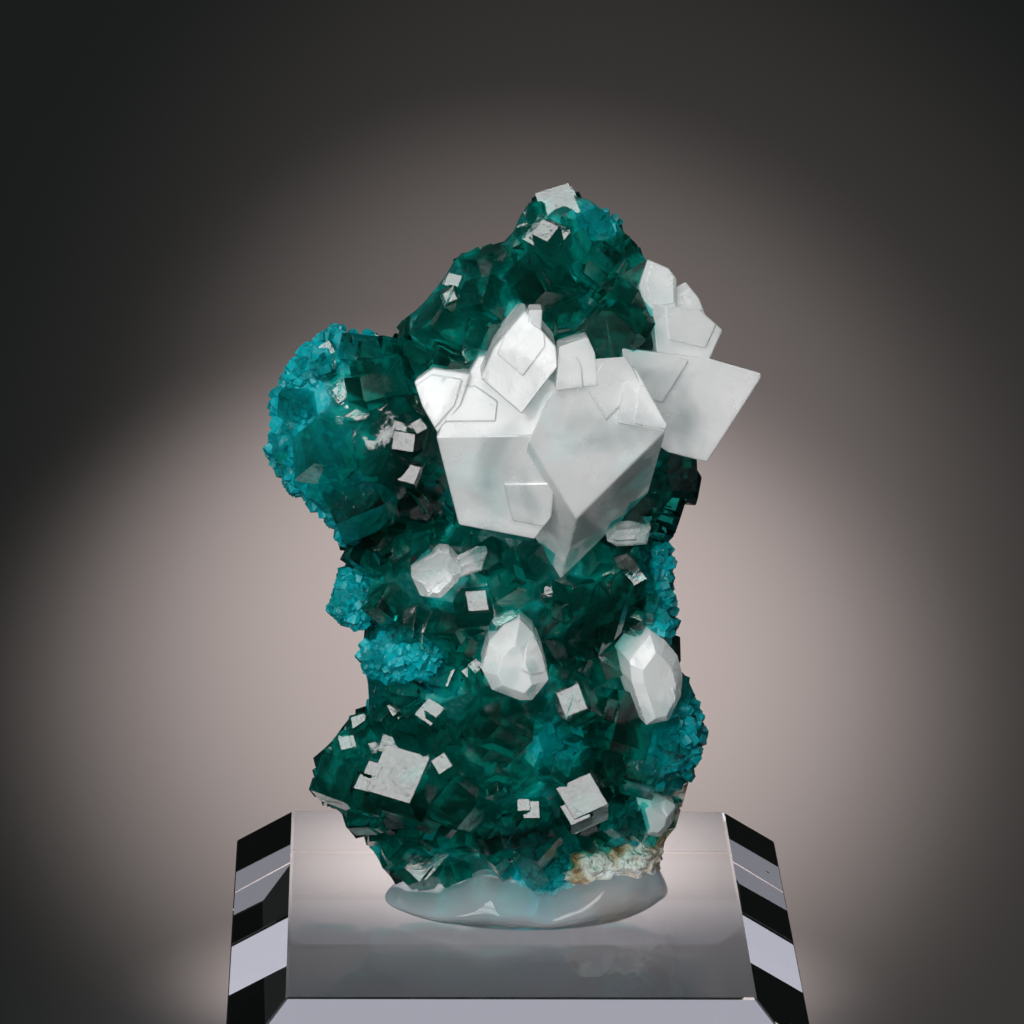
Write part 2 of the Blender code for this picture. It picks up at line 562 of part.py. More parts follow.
def lump_solids(lumps, grow=0.0, rough=False):
    """The overlapping lumps of one body, every point moved out by grow."""
    return [lump_solid(place, radii, grow, rough) for place, radii in lumps]


def gathered(solids):
    """Several solids as loose bodies in one bmesh."""
    whole = bmesh.new()
    for solid in solids:
        mesh = bpy.data.meshes.new("piece")
        solid.to_mesh(mesh)
        solid.free()
        whole.from_mesh(mesh)
        bpy.data.meshes.remove(mesh)
    return whole


def settle(body, across, up, proud):
    """The centre of a crystal on the body: where the line of sight meets it, then proud millimetres nearer."""
    point = on_plane(across, up)
    hit = body.ray_cast(EYE, (point - EYE).normalized())[0]
    if hit is None:
        nearest = body.find_nearest(point)[0]
        hit = seen(across, up, -nearest.y / MM)
    return hit + sight(hit) * proud * MM


def large_crystals(surface, chance):
    """The large crystals, set on the body's surface."""
    made = []
    for across, up, width, length, tip, turn, proud in LARGE_CRYSTALS:
        centre = settle(surface, across, up, proud)
        rotation = turned(pointing(*tip), turn)
        made.append(new_crystal(centre, rotation, width * MM, length * MM, chance))
    return made


def lit_crystals(surface, chance):
    """The crystals with a lit end face, set on the surface that the large ones give the body."""
    made = []
    for across, up, width, length, way, proud in LIT_CRYSTALS:
        face = settle(surface, across, up, proud)
        centre, rotation = lit_pose(face, width * MM, length * MM, math.radians(way))
        made.append(new_crystal(centre, rotation, width * MM, length * MM, chance))
    return made


def lit_pose(face, width, length, way):
    """(centre, rotation) that put one end face at a place, facing the light, the tip that way round on it."""
    normal = pointing(LIT_FACING.x, LIT_FACING.y, LIT_FACING.z)
    right = Vector((0.0, 0.0, 1.0)).cross(-normal).normalized()
    upward = normal.cross(right)
    if upward.z < 0:
        upward = -upward
    slope = right * math.cos(way) + upward * math.sin(way)
    tip = normal * math.cos(RHOMB_TILT) + slope * math.sin(RHOMB_TILT)
    outward = (normal - tip * normal.dot(tip)).normalized()
    rotation = Matrix((outward, tip.cross(outward), tip)).transposed() @ Matrix.Rotation(math.radians(-30), 3, "Z")
    radius = width / 2
    centre = face - outward * radius * 0.577 - tip * (length / 2 - radius * 0.713)
    return centre, rotation


def fill_crystals(surface, body_mesh, placed, chance):
    """Smaller crystals all over the body, where no other crystal stands."""
    faces = [face for face in body_mesh.faces if face.calc_center_median().z > BLOCK_HEIGHT + 4 * MM]
    made = []
    for _ in range(40 * FILL_COUNT):
        if len(made) == FILL_COUNT:
            break
        face = chance.choice(faces)
        point = face.calc_center_median()
        width = chance.uniform(*FILL_WIDTH) * MM
        outward = (face.normal + Vector([chance.uniform(-0.5, 0.5) for _ in range(3)])).normalized()
        crowded = any((point - one.centre).length < 0.42 * (width + one.width) for one in placed + made)
        buried = surface.ray_cast(point + face.normal * 0.1 * MM, face.normal)[0] is not None
        if crowded or buried or not nearest_outline(outline_place(point))[0]:
            continue
        rotation = turned(outward, chance.uniform(0, 60))
        made.append(new_crystal(point, rotation, width, width * chance.uniform(1.3, 1.6), chance))
    return made


def combine(obj, operation, solids):
    """Joins solids to an object, or cuts them from it, one after another.

    The MANIFOLD solver does it, because EXACT leaves walls of no thickness where so many crystals meet.
    """
    scene_objects = bpy.context.scene.collection.objects
    for solid in solids:
        mesh = bpy.data.meshes.new("solid")
        solid.to_mesh(mesh)
        solid.free()
        other = bpy.data.objects.new("solid", mesh)
        scene_objects.link(other)
        modifier = obj.modifiers.new("Combine", "BOOLEAN")
        modifier.operation = operation
        modifier.solver = "MANIFOLD"
        modifier.object = other
        graph = bpy.context.evaluated_depsgraph_get()
        combined = bpy.data.meshes.new_from_object(obj.evaluated_get(graph))
        obj.modifiers.clear()
        obj.data = combined
        bpy.data.objects.remove(other)
        bpy.data.meshes.remove(mesh)


def finish(obj, shortest=SHORT_EDGE):
    """Leaves one body of plain triangles, without chips and without edges under the shortest."""
    work = bmesh.new()
    work.from_mesh(obj.data)
    bmesh.ops.triangulate(work, faces=work.faces[:])
    keep_largest(work)
    close_short_edges(work, shortest)
    work.to_mesh(obj.data)
    work.free()


def close_short_edges(work, shortest):
    """Draws each very short edge into a point, unless that would fold or pinch the surface.

    The few that stay, across the narrowest necks, are opened a little instead.
    """
    short = [edge for edge in work.edges if edge.calc_length() < shortest]
    for edge in sorted(short, key=lambda candidate: candidate.calc_length()):
        if not edge.is_valid or edge.calc_length() >= shortest:
            continue
        kept, dropped = edge.verts
        around_kept = {other.other_vert(kept) for other in kept.link_edges}
        around_dropped = {other.other_vert(dropped) for other in dropped.link_edges}
        if len(around_kept & around_dropped) != 2:
            continue
        if folds(kept, dropped, edge) and folds(dropped, kept, edge):
            continue
        if folds(kept, dropped, edge):
            kept, dropped = dropped, kept
        bmesh.ops.pointmerge(work, verts=[kept, dropped], merge_co=kept.co)
    for edge in work.edges:
        if edge.calc_length() < NARROW_NECK:
            here, there = edge.verts
            apart = (here.co - there.co).normalized() * NARROW_NECK
            here.co += apart
            there.co -= apart


def folds(kept, dropped, edge):
    """Whether moving one end of an edge onto the other turns a face around the moved end over."""
    for face in dropped.link_faces:
        if face in edge.link_faces:
            continue
        before = [vert.co for vert in face.verts]
        after = [kept.co if vert == dropped else vert.co for vert in face.verts]
        old = (before[1] - before[0]).cross(before[2] - before[0])
        new = (after[1] - after[0]).cross(after[2] - after[0])
        if new.length < 1e-12 or (old.length > 1e-12 and old.normalized().dot(new.normalized()) < 0.6):
            return True
    return False


def keep_largest(work):
    """Deletes every loose chip, and leaves the body with the most faces."""
    work.faces.ensure_lookup_table()
    unseen = set(work.faces)
    bodies = []
    while unseen:
        reached = {unseen.pop()}
        edge_of_search = list(reached)
        while edge_of_search:
            face = edge_of_search.pop()
            for edge in face.edges:
                for other in edge.link_faces:
                    if other in unseen:
                        unseen.discard(other)
                        reached.add(other)
                        edge_of_search.append(other)
        bodies.append(reached)
    bodies.sort(key=len)
    chips = [face for body in bodies[:-1] for face in body]
    bmesh.ops.delete(work, geom=chips, context="FACES")


def acrylic_base(nodes, material):
    """The clear block, its four top edges cut at 45 degrees."""
    block = bmesh.new()
    bmesh.ops.create_cube(block, size=1.0)
    bmesh.ops.scale(block, vec=(BLOCK_SIDE, BLOCK_SIDE, BLOCK_HEIGHT), verts=block.verts)
    bmesh.ops.translate(block, vec=(0.0, 0.0, BLOCK_HEIGHT / 2), verts=block.verts)
    top_edges = [edge for edge in block.edges if all(vert.co.z > BLOCK_HEIGHT / 2 for vert in edge.verts)]
    bmesh.ops.bevel(block, geom=top_edges, offset=BLOCK_BEVEL, segments=1, profile=0.5, affect="EDGES")
    return new_object("acrylic_base", block, nodes, material)


def crest_height(x):
    """Height of the gel's crest above the block at a place along it, on a smooth curve through GEL_CREST."""
    across = x / MM
    if across <= GEL_CREST[0][0]:
        return GEL_CREST[0][1] * MM
    for (left, low), (right, high) in zip(GEL_CREST, GEL_CREST[1:]):
        if across <= right:
            share = (across - left) / (right - left)
            smooth = share * share * (3 - 2 * share)
            return (low + (high - low) * smooth) * MM
    return GEL_CREST[-1][1] * MM


def gel_mesh():
    """The gel as poured: a ball cut flat below, drawn out along the foot, its top following the crest."""
    gel = bmesh.new()
    bmesh.ops.create_uvsphere(gel, u_segments=28, v_segments=11, radius=1.0)
    everything = gel.verts[:] + gel.edges[:] + gel.faces[:]
    cut = bmesh.ops.bisect_plane(
        gel, geom=everything, plane_co=(0, 0, GEL_FLATTENING), plane_no=(0, 0, -1), clear_outer=True
    )
    rim = [part for part in cut["geom_cut"] if isinstance(part, bmesh.types.BMEdge)]
    bmesh.ops.contextual_create(gel, geom=rim)
    for vert in gel.verts:
        x = GEL_MIDDLE.x + vert.co.x * GEL_HALF_LENGTH
        y = GEL_MIDDLE.y + vert.co.y * GEL_HALF_DEPTH
        share = (vert.co.z - GEL_FLATTENING) / (1.0 - GEL_FLATTENING)
        vert.co = (x, y, BLOCK_HEIGHT + GAP + share * crest_height(x))
    bmesh.ops.recalc_face_normals(gel, faces=gel.faces[:])
    return gel


def main():
    """Builds the nodes. Calcite is whole, the matrix gives way to it, dioptase to both, and gel to all."""
    clear_scene()
    nodes = new_collection("dioptase")
    green = new_material("dioptase", (0.0, 0.22, 0.17), 0.15)
    white = new_material("calcite", (0.86, 0.86, 0.85), 0.25)
    rock = new_material("matrix", (0.62, 0.55, 0.47), 0.8)
    clear = new_material("clear_acrylic", (0.90, 0.92, 0.93), 0.02)
    gel_finish = new_material("mounting_gel", (0.80, 0.83, 0.88), 0.1)

    acrylic_base(nodes, clear)
    calcites = {
        "calcite_group": CALCITE_GROUP,
        "calcite_middle": CALCITE_MIDDLE,
        "calcite_right": CALCITE_RIGHT,
        "calcite_pale": CALCITE_PALE,
        "calcite_ledge": CALCITE_LEDGE,
        "calcite_foot": CALCITE_FOOT,
    }
    for name, rows in calcites.items():
        solids = calcite_solids(rows)
        calcite = new_object(name, solids[0], nodes, white)
        combine(calcite, "UNION", solids[1:])
        finish(calcite)
    every_calcite = [row for rows in calcites.values() for row in rows]

    lumps = lump_solids(MATRIX_LUMPS, rough=True)
    matrix = new_object("matrix", lumps[0], nodes, rock)
    combine(matrix, "UNION", lumps[1:])
    combine(matrix, "DIFFERENCE", calcite_solids(every_calcite, GAP))
    finish(matrix)

    chance = random.Random(SEED)
    body_mesh = gathered(lump_solids(BODY_LUMPS))
    body = BVHTree.FromBMesh(body_mesh)
    crystals = large_crystals(body, chance)
    crowd = gathered([crystal.solid() for crystal in crystals] + lump_solids(BODY_LUMPS))
    crystals += lit_crystals(BVHTree.FromBMesh(crowd), chance)
    crystals += fill_crystals(body, body_mesh, crystals, chance)
    crowd.free()
    body_mesh.free()

    lumps = lump_solids(BODY_LUMPS)
    cluster = new_object("dioptase_cluster", lumps[0], nodes, green)
    combine(cluster, "UNION", lumps[1:] + lump_solids(CRUST_LUMPS, rough=True))
    combine(cluster, "UNION", [crystal.solid() for crystal in crystals])
    combine(cluster, "DIFFERENCE", calcite_solids(every_calcite, GAP) + lump_solids(MATRIX_LUMPS, GAP, True))
    finish(cluster)

    foot = [crystal.solid(GEL_GAP) for crystal in crystals if crystal.centre.z < FOOT_LEVEL]
    foot += lump_solids(BODY_LUMPS[-3:], GEL_GAP) + lump_solids(CRUST_LUMPS + MATRIX_LUMPS, GEL_GAP, True)
    gel = new_object("mounting_gel", gel_mesh(), nodes, gel_finish)
    combine(gel, "DIFFERENCE", foot + calcite_solids(every_calcite, GAP))
    finish(gel, GEL_SHORT_EDGE)


main()
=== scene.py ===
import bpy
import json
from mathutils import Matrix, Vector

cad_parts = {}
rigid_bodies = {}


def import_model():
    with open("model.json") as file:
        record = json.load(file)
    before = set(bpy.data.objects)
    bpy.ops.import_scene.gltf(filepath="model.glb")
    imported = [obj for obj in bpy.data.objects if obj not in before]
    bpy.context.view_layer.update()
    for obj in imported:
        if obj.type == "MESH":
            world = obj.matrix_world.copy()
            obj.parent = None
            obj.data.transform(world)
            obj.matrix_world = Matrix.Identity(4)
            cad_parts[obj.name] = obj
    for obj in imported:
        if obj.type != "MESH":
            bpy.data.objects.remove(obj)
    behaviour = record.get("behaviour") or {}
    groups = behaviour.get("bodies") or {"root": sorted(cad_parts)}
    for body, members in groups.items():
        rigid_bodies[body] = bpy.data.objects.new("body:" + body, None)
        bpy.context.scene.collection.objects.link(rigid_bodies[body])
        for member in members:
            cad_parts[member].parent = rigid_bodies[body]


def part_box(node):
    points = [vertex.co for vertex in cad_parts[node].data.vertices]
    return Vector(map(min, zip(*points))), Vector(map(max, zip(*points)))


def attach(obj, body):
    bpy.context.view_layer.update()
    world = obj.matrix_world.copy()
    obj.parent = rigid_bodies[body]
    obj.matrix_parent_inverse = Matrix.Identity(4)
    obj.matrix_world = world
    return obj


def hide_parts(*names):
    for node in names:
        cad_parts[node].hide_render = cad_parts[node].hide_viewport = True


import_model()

"""Dressed model of a dioptase and calcite specimen on a clear block.

Places on the specimen are read from one eye, in front of it and a little above. A place is written
(across, up): millimetres on the upright plane through the middle of the block, where the line of sight
to it crosses that plane. Towards is how many millimetres a point lies in front of that plane.
"""

import functools
import json
import logging
import math
import random
from dataclasses import dataclass, field
from enum import Enum
from typing import Iterable, NamedTuple, Sequence

import bmesh
import bpy
from mathutils import Matrix, Vector, noise
from mathutils.bvhtree import BVHTree

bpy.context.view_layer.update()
BODY = "root"
MM = 0.001
LOG = logging.getLogger("specimen")

Place = tuple[float, float]
Span = tuple[float, float]
Way = tuple[float, float, float]
Solid = bmesh.types.BMesh
Tree = bpy.types.NodeTree
Node = bpy.types.Node
Socket = bpy.types.NodeSocket

# The eye that places are read from, which is also where the camera stands
EYE = Vector((-14.47, -399.05, 200.50)) * MM

# Dioptase: the rhomb faces at a crystal's ends lean this far from its long axis
RHOMB_TILT = math.radians(51.0)

# A face that looks this way (right, up, towards) mirrors the key light to the eye
LIT_FACING = Vector((-0.08, 0.62, 0.78)).normalized()

# Where the middle of an end face lies: out from the axis and below the tip, as shares of half the width
FACE_OUT = 0.577
FACE_BELOW = 0.713

# How far the prism and end faces lie from a crystal's middle, as shares of their even distance
PRISM_SHARES = (0.90, 1.06)
END_SHARES = (0.95, 1.0)

# Growth steps: how many of a crystal's largest faces may have one, how often, and how far in, as a share of
# its width
STEPPED_FACES = 7
STEPPED_OFTEN = 0.6
STEP_INSET = (0.06, 0.22)

# How turquoise a crystal is: how much its place counts, and how far it may differ. Then how dark it may be.
PLACE_TINT = 0.8
TINT_SPREAD = (-0.25, 0.5)
SHADE_SPREAD = (0.70, 1.0)
MELON_TINT = 0.75

# A smaller crystal beside a large one: its size, how far aside and along it stands, as shares of the large
# one's width and length, how much slimmer it is, and how many degrees it leans
BESIDE_SIZE = (0.45, 0.75)
BESIDE_ASIDE = 0.40
BESIDE_ALONG = 0.30
BESIDE_SLIMMER = 1.15
BESIDE_LEAN = 3

# Scattered crystals: how low they go, how much they lean, and how long they are for their width
LOWEST_CRYSTAL = 22 * MM
SCATTER_LEAN = 0.5
SCATTER_STRETCH = (1.3, 1.9)

# Druse: how turquoise the crust is where it grows, and how much it leans
DRUSE_TINT = 0.25
DRUSE_LEAN = 0.6

# A crystal may reach this far past OUTLINE
OVER_OUTLINE = 0.2 * MM

# Turquoise is full up to this less 1, and gone at this, counted in radii of its row
TURQUOISE_REACH = 1.6

LAVENDER: Way = (0.86, 0.85, 1.0)

# How far the specimen reaches, seen from the eye, as places in turn around it from the crown
OUTLINE: tuple[Place, ...] = (
    (2.4, 86.4), (4.7, 84.6), (7.0, 82.8), (8.2, 81.9), (9.0, 80.6), (10.0, 79.7), (10.8, 77.3), (12.2, 78.3),
    (13.7, 77.0), (15.4, 74.5), (17.3, 72.9), (15.9, 69.8), (20.4, 68.6), (18.9, 65.3), (16.4, 60.8),
    (17.0, 58.4), (14.0, 55.6), (13.1, 53.2), (12.7, 49.2), (13.2, 47.0), (14.3, 43.8), (15.1, 40.4),
    (16.5, 35.9), (15.8, 33.3), (15.0, 29.5), (14.2, 26.2), (13.1, 24.7), (13.5, 20.4), (8.0, 20.5),
    (2.0, 19.6), (-2.7, 21.0), (-6.3, 19.3), (-11.2, 20.5), (-12.4, 23.6), (-15.0, 26.0), (-15.0, 27.6),
    (-18.2, 28.4), (-18.4, 32.4), (-16.5, 34.2), (-14.3, 37.4), (-13.2, 36.7), (-13.1, 39.5), (-13.9, 42.9),
    (-13.3, 44.2), (-16.2, 46.8), (-15.2, 50.0), (-15.7, 52.3), (-15.2, 53.8), (-17.4, 56.1), (-20.2, 58.5),
    (-22.0, 61.6), (-21.0, 63.4), (-21.4, 66.0), (-20.0, 68.5), (-18.2, 71.0), (-15.8, 72.6), (-14.3, 71.6),
    (-11.5, 72.6), (-9.1, 74.3), (-6.9, 77.1), (-6.1, 78.6), (-4.8, 80.1), (-1.6, 80.1), (-0.4, 82.9),
    (0.8, 84.8),
)

# What the crystals are set on: (across, up, towards), (half width, half depth, half height)
BODY_LUMPS: tuple[tuple[Way, Way], ...] = (
    ((-14.6, 62.6, 0.0), (7.0, 8.0, 8.6)),
    ((-15.5, 68.0, -1.5), (4.6, 5.5, 4.6)),
    ((-1.5, 73.0, -1.0), (9.0, 7.5, 6.2)),
    ((3.2, 79.2, -1.0), (5.6, 5.2, 5.0)),
    ((7.0, 75.0, -1.0), (4.2, 6.0, 5.4)),
    ((1.0, 62.5, -0.5), (13.0, 9.0, 9.5)),
    ((-1.0, 50.5, 0.0), (13.2, 8.0, 8.5)),
    ((-1.5, 41.0, 0.0), (12.2, 8.0, 7.0)),
    ((-2.0, 34.0, 0.0), (12.6, 8.6, 7.6)),
    ((10.6, 35.5, -1.0), (5.0, 6.4, 6.6)),
    ((8.6, 29.2, -1.4), (4.6, 4.6, 5.0)),
    ((-13.0, 31.0, 1.0), (4.4, 5.0, 4.6)),
    ((-1.6, 25.6, -1.4), (11.4, 4.8, 5.6)),
)

# Crust that shows between the crystals, written the same way
CRUST_LUMPS: tuple[tuple[Way, Way], ...] = (
    ((-18.4, 62.8, 0.6), (3.5, 5.4, 5.4)),
    ((-17.4, 68.6, 0.0), (3.1, 4.6, 3.3)),
    ((-16.8, 57.6, 0.6), (2.6, 4.4, 3.6)),
    ((-14.6, 47.9, 1.6), (1.9, 3.2, 2.1)),
    ((-10.3, 42.4, 6.6), (3.3, 1.9, 1.8)),
    ((12.0, 48.4, 0.6), (1.6, 4.6, 4.4)),
    ((13.6, 35.0, 0.4), (2.7, 4.4, 3.6)),
    ((2.4, 21.8, 1.0), (2.8, 2.4, 2.6)),
)

# Rock, written the same way
MATRIX_LUMPS: tuple[tuple[Way, Way], ...] = (
    ((12.6, 31.0, -1.6), (3.0, 3.4, 3.0)),
    ((11.2, 26.6, -1.6), (3.4, 3.2, 3.2)),
    ((9.6, 23.6, 0.2), (3.6, 3.0, 2.2)),
    ((6.6, 22.6, 1.8), (2.6, 2.4, 1.9)),
    ((6.0, 29.0, -6.0), (8.0, 3.6, 7.0)),
    ((3.0, 40.0, -6.6), (7.0, 3.0, 7.6)),
)

# Each row is a LargeCrystal
LARGE_CRYSTALS = (
    # Crown
    (-3.7, 78.5, 4.6, 6.0, (-0.35, 0.50, 0.60), 10, 0.8),
    (6.2, 78.3, 3.6, 5.2, (0.15, 0.95, 0.25), 0, 1.4),
    (9.0, 78.2, 4.0, 5.4, (0.75, 0.45, 0.40), 20, 0.6),
    (8.0, 73.4, 6.4, 8.0, (0.55, -0.20, 0.75), 5, 1.6),
    (1.4, 76.6, 5.4, 7.4, (0.20, 0.30, 0.90), 25, 1.6),
    (-7.2, 73.6, 5.8, 7.4, (-0.50, 0.25, 0.80), 15, 0.6),
    (-3.4, 75.2, 4.2, 5.4, (-0.15, 0.20, 0.95), 40, 1.4),
    (-3.6, 72.0, 3.2, 4.4, (0.10, -0.30, 0.90), 0, 1.4),
    (-6.3, 69.5, 4.0, 4.8, (-0.20, -0.45, 0.85), 30, 1.4),
    (3.4, 73.5, 3.6, 4.8, (-0.25, -0.10, 0.95), 12, 1.4),
    (5.9, 82.0, 3.0, 4.2, (0.50, 0.70, 0.40), 0, 0.4),
    (8.2, 80.3, 2.8, 3.8, (0.70, 0.60, 0.30), 15, 0.2),
    (-0.2, 81.0, 2.6, 3.6, (-0.60, 0.60, 0.40), 5, 0.4),
    (0.4, 78.9, 3.0, 3.8, (-0.10, 0.60, 0.80), 33, 1.0),
    (10.6, 71.8, 3.0, 4.6, (0.65, -0.50, 0.45), 0, 0.2),
    # Left lobe: the ledge above the smooth group and the crystals beside it
    (-8.2, 58.8, 4.8, 6.4, (-0.25, -0.18, 0.95), 38, 1.4),
    (-12.6, 68.0, 4.6, 6.4, (-0.15, 0.75, 0.60), 28, 0.6),
    (-14.2, 70.4, 3.6, 4.8, (-0.25, 0.85, 0.40), 0, 0.8),
    (-12.2, 70.7, 3.6, 5.0, (-0.05, 0.90, 0.40), 18, 0.8),
    (-10.2, 69.8, 3.8, 5.2, (0.15, 0.85, 0.50), 5, 1.0),
    (-9.7, 72.2, 3.0, 4.4, (-0.30, 0.90, 0.10), 0, -1.2),
    (-7.8, 55.6, 4.2, 5.6, (0.15, -0.40, 0.90), 14, 0.6),
    (-12.4, 54.6, 4.4, 5.8, (-0.20, -0.60, 0.75), 8, 0.4),
    # Waist
    (-13.6, 52.0, 3.4, 4.6, (-0.60, 0.10, 0.75), 0, 0.4),
    (-10.8, 52.2, 3.6, 4.6, (-0.20, -0.15, 0.95), 21, 0.4),
    (-8.0, 52.6, 3.2, 4.4, (0.05, -0.10, 0.95), 7, 0.6),
    (-5.2, 53.0, 3.0, 4.0, (-0.10, 0.20, 0.95), 33, 0.4),
    (-2.4, 51.6, 3.4, 4.6, (0.20, 0.25, 0.90), 12, 0.6),
    (0.8, 51.4, 3.2, 4.4, (-0.15, 0.30, 0.90), 26, 0.6),
    (3.0, 52.6, 2.8, 3.8, (0.15, 0.10, 0.95), 3, 0.4),
    (6.6, 51.4, 3.0, 4.0, (0.10, 0.25, 0.95), 17, 0.4),
    (-14.8, 48.2, 3.9, 4.8, (-0.75, 0.10, 0.60), 8, 0.6),
    (-11.6, 47.4, 3.8, 4.8, (-0.35, 0.20, 0.90), 16, 0.6),
    (-9.0, 45.0, 4.6, 5.8, (-0.15, 0.10, 0.95), 30, 0.8),
    (-6.4, 45.0, 3.8, 5.0, (0.10, 0.05, 0.95), 2, 0.8),
    (-12.2, 44.6, 3.2, 4.2, (-0.55, 0.05, 0.80), 24, 0.4),
    (-0.9, 48.8, 3.6, 5.0, (0.25, 0.35, 0.90), 10, 0.8),
    (-1.6, 46.2, 3.2, 4.2, (-0.20, -0.10, 0.95), 28, 0.6),
    (3.4, 46.0, 3.2, 4.4, (0.10, 0.30, 0.95), 6, 0.6),
    (4.8, 48.0, 3.8, 5.6, (-0.10, 0.60, 0.75), 19, 1.0),
    (6.7, 46.1, 3.4, 8.4, (-0.32, -0.92, 0.22), 0, 2.2),
    (10.8, 49.3, 3.0, 4.0, (0.35, 0.20, 0.90), 11, 0.4),
    (11.8, 52.4, 3.0, 4.0, (0.60, 0.25, 0.75), 29, 0.4),
    (9.8, 46.6, 3.8, 5.0, (0.30, 0.05, 0.95), 4, 0.6),
    (10.3, 43.8, 3.4, 4.4, (0.35, -0.10, 0.90), 23, 0.4),
    (12.2, 47.6, 2.6, 3.6, (0.75, 0.10, 0.60), 15, 0.2),
    (4.0, 43.6, 3.8, 5.2, (-0.30, 0.40, 0.85), 9, 0.8),
    (7.4, 41.6, 3.6, 4.6, (0.10, -0.20, 0.95), 27, 0.6),
    (4.4, 41.2, 3.0, 4.0, (-0.05, -0.20, 0.95), 14, 0.4),
    (-5.0, 42.4, 3.2, 4.2, (-0.05, 0.10, 0.95), 38, 0.6),
    (-12.6, 42.9, 2.8, 3.6, (-0.60, 0.20, 0.75), 0, 0.6),
    (-10.6, 41.8, 3.2, 4.2, (-0.35, 0.15, 0.90), 20, 0.8),
    (-8.4, 41.0, 3.4, 4.4, (-0.15, 0.10, 0.95), 5, 0.8),
    (-6.4, 40.2, 2.8, 3.6, (0.05, 0.00, 0.95), 31, 0.6),
    (-12.2, 39.6, 3.2, 4.2, (-0.60, -0.20, 0.75), 12, 0.4),
    (-9.8, 38.8, 3.4, 4.4, (-0.30, -0.25, 0.90), 25, 0.4),
    # Right shoulder, under the calcite
    (13.4, 60.2, 4.0, 5.4, (0.60, 0.20, 0.75), 8, 1.0),
    (12.4, 56.4, 3.8, 5.2, (0.50, -0.05, 0.85), 17, 0.8),
    (10.2, 56.0, 3.4, 4.6, (0.25, -0.10, 0.95), 2, 0.8),
    (12.9, 54.2, 2.8, 3.8, (0.70, -0.20, 0.65), 26, 0.4),
    # Lower body
    (-2.0, 36.1, 5.4, 8.2, (0.80, -0.15, 0.60), 6, 1.0),
    (8.6, 36.2, 6.6, 8.6, (0.12, 0.90, 0.42), 22, 1.4),
    (7.4, 31.8, 4.8, 6.2, (0.10, -0.15, 0.95), 12, 1.2),
    (10.8, 31.4, 4.2, 5.4, (0.45, -0.10, 0.85), 30, 0.6),
    (3.6, 34.4, 3.4, 4.6, (0.15, 0.30, 0.90), 4, 0.8),
    (3.2, 31.8, 3.2, 4.2, (-0.15, 0.10, 0.95), 21, 0.6),
    (-11.0, 36.2, 3.8, 5.0, (-0.35, 0.35, 0.85), 15, 0.6),
    (-8.8, 35.0, 4.0, 5.2, (-0.10, 0.35, 0.90), 34, 0.8),
    (-6.3, 34.6, 3.6, 4.8, (0.15, 0.30, 0.95), 9, 0.8),
    (-14.8, 34.8, 4.2, 5.6, (-0.60, 0.45, 0.65), 2, 0.8),
    (-16.2, 30.5, 5.2, 7.4, (-0.88, -0.05, 0.45), 18, 0.8),
    (-14.0, 26.6, 3.2, 4.4, (-0.75, -0.25, 0.55), 24, 0.4),
    (-12.2, 25.6, 3.2, 4.2, (-0.50, -0.20, 0.80), 7, 0.4),
    (-4.6, 29.4, 4.6, 7.8, (-0.20, -0.50, 0.80), 13, 0.8),
    (-6.6, 31.8, 3.4, 4.4, (-0.15, 0.20, 0.95), 28, 0.6),
    (-2.0, 31.8, 3.8, 5.0, (0.10, 0.20, 0.95), 3, 0.8),
    (-8.4, 25.7, 4.0, 5.2, (-0.10, 0.10, 0.95), 19, 0.6),
    (-10.9, 27.6, 3.2, 4.2, (-0.40, 0.10, 0.90), 35, 0.2),
    (-4.7, 25.3, 3.8, 4.8, (0.05, 0.05, 0.95), 10, 0.6),
    (0.8, 26.8, 4.6, 6.6, (0.10, -0.30, 0.95), 26, 1.0),
    (-1.6, 23.6, 3.2, 4.2, (-0.10, -0.20, 0.95), 5, 0.4),
    (2.3, 21.9, 4.8, 5.8, (0.15, -0.15, 0.95), 16, 0.6),
    (6.8, 25.6, 3.6, 4.8, (0.20, -0.20, 0.95), 31, 0.6),
    (4.0, 24.7, 3.2, 4.2, (0.10, -0.10, 0.95), 0, 0.4),
    (8.9, 27.0, 3.2, 4.4, (0.30, 0.20, 0.90), 22, 0.8),
    (10.8, 26.8, 2.9, 4.6, (0.25, 0.92, 0.30), 0, 2.0),
    # Turquoise crystals at the right edge
    (13.4, 33.8, 3.4, 4.4, (0.65, 0.00, 0.75), 6, 0.4),
    (15.0, 35.4, 2.8, 3.6, (0.90, 0.10, 0.40), 20, 0.2),
    (12.9, 36.8, 3.0, 3.8, (0.60, 0.30, 0.70), 12, 0.2),
)

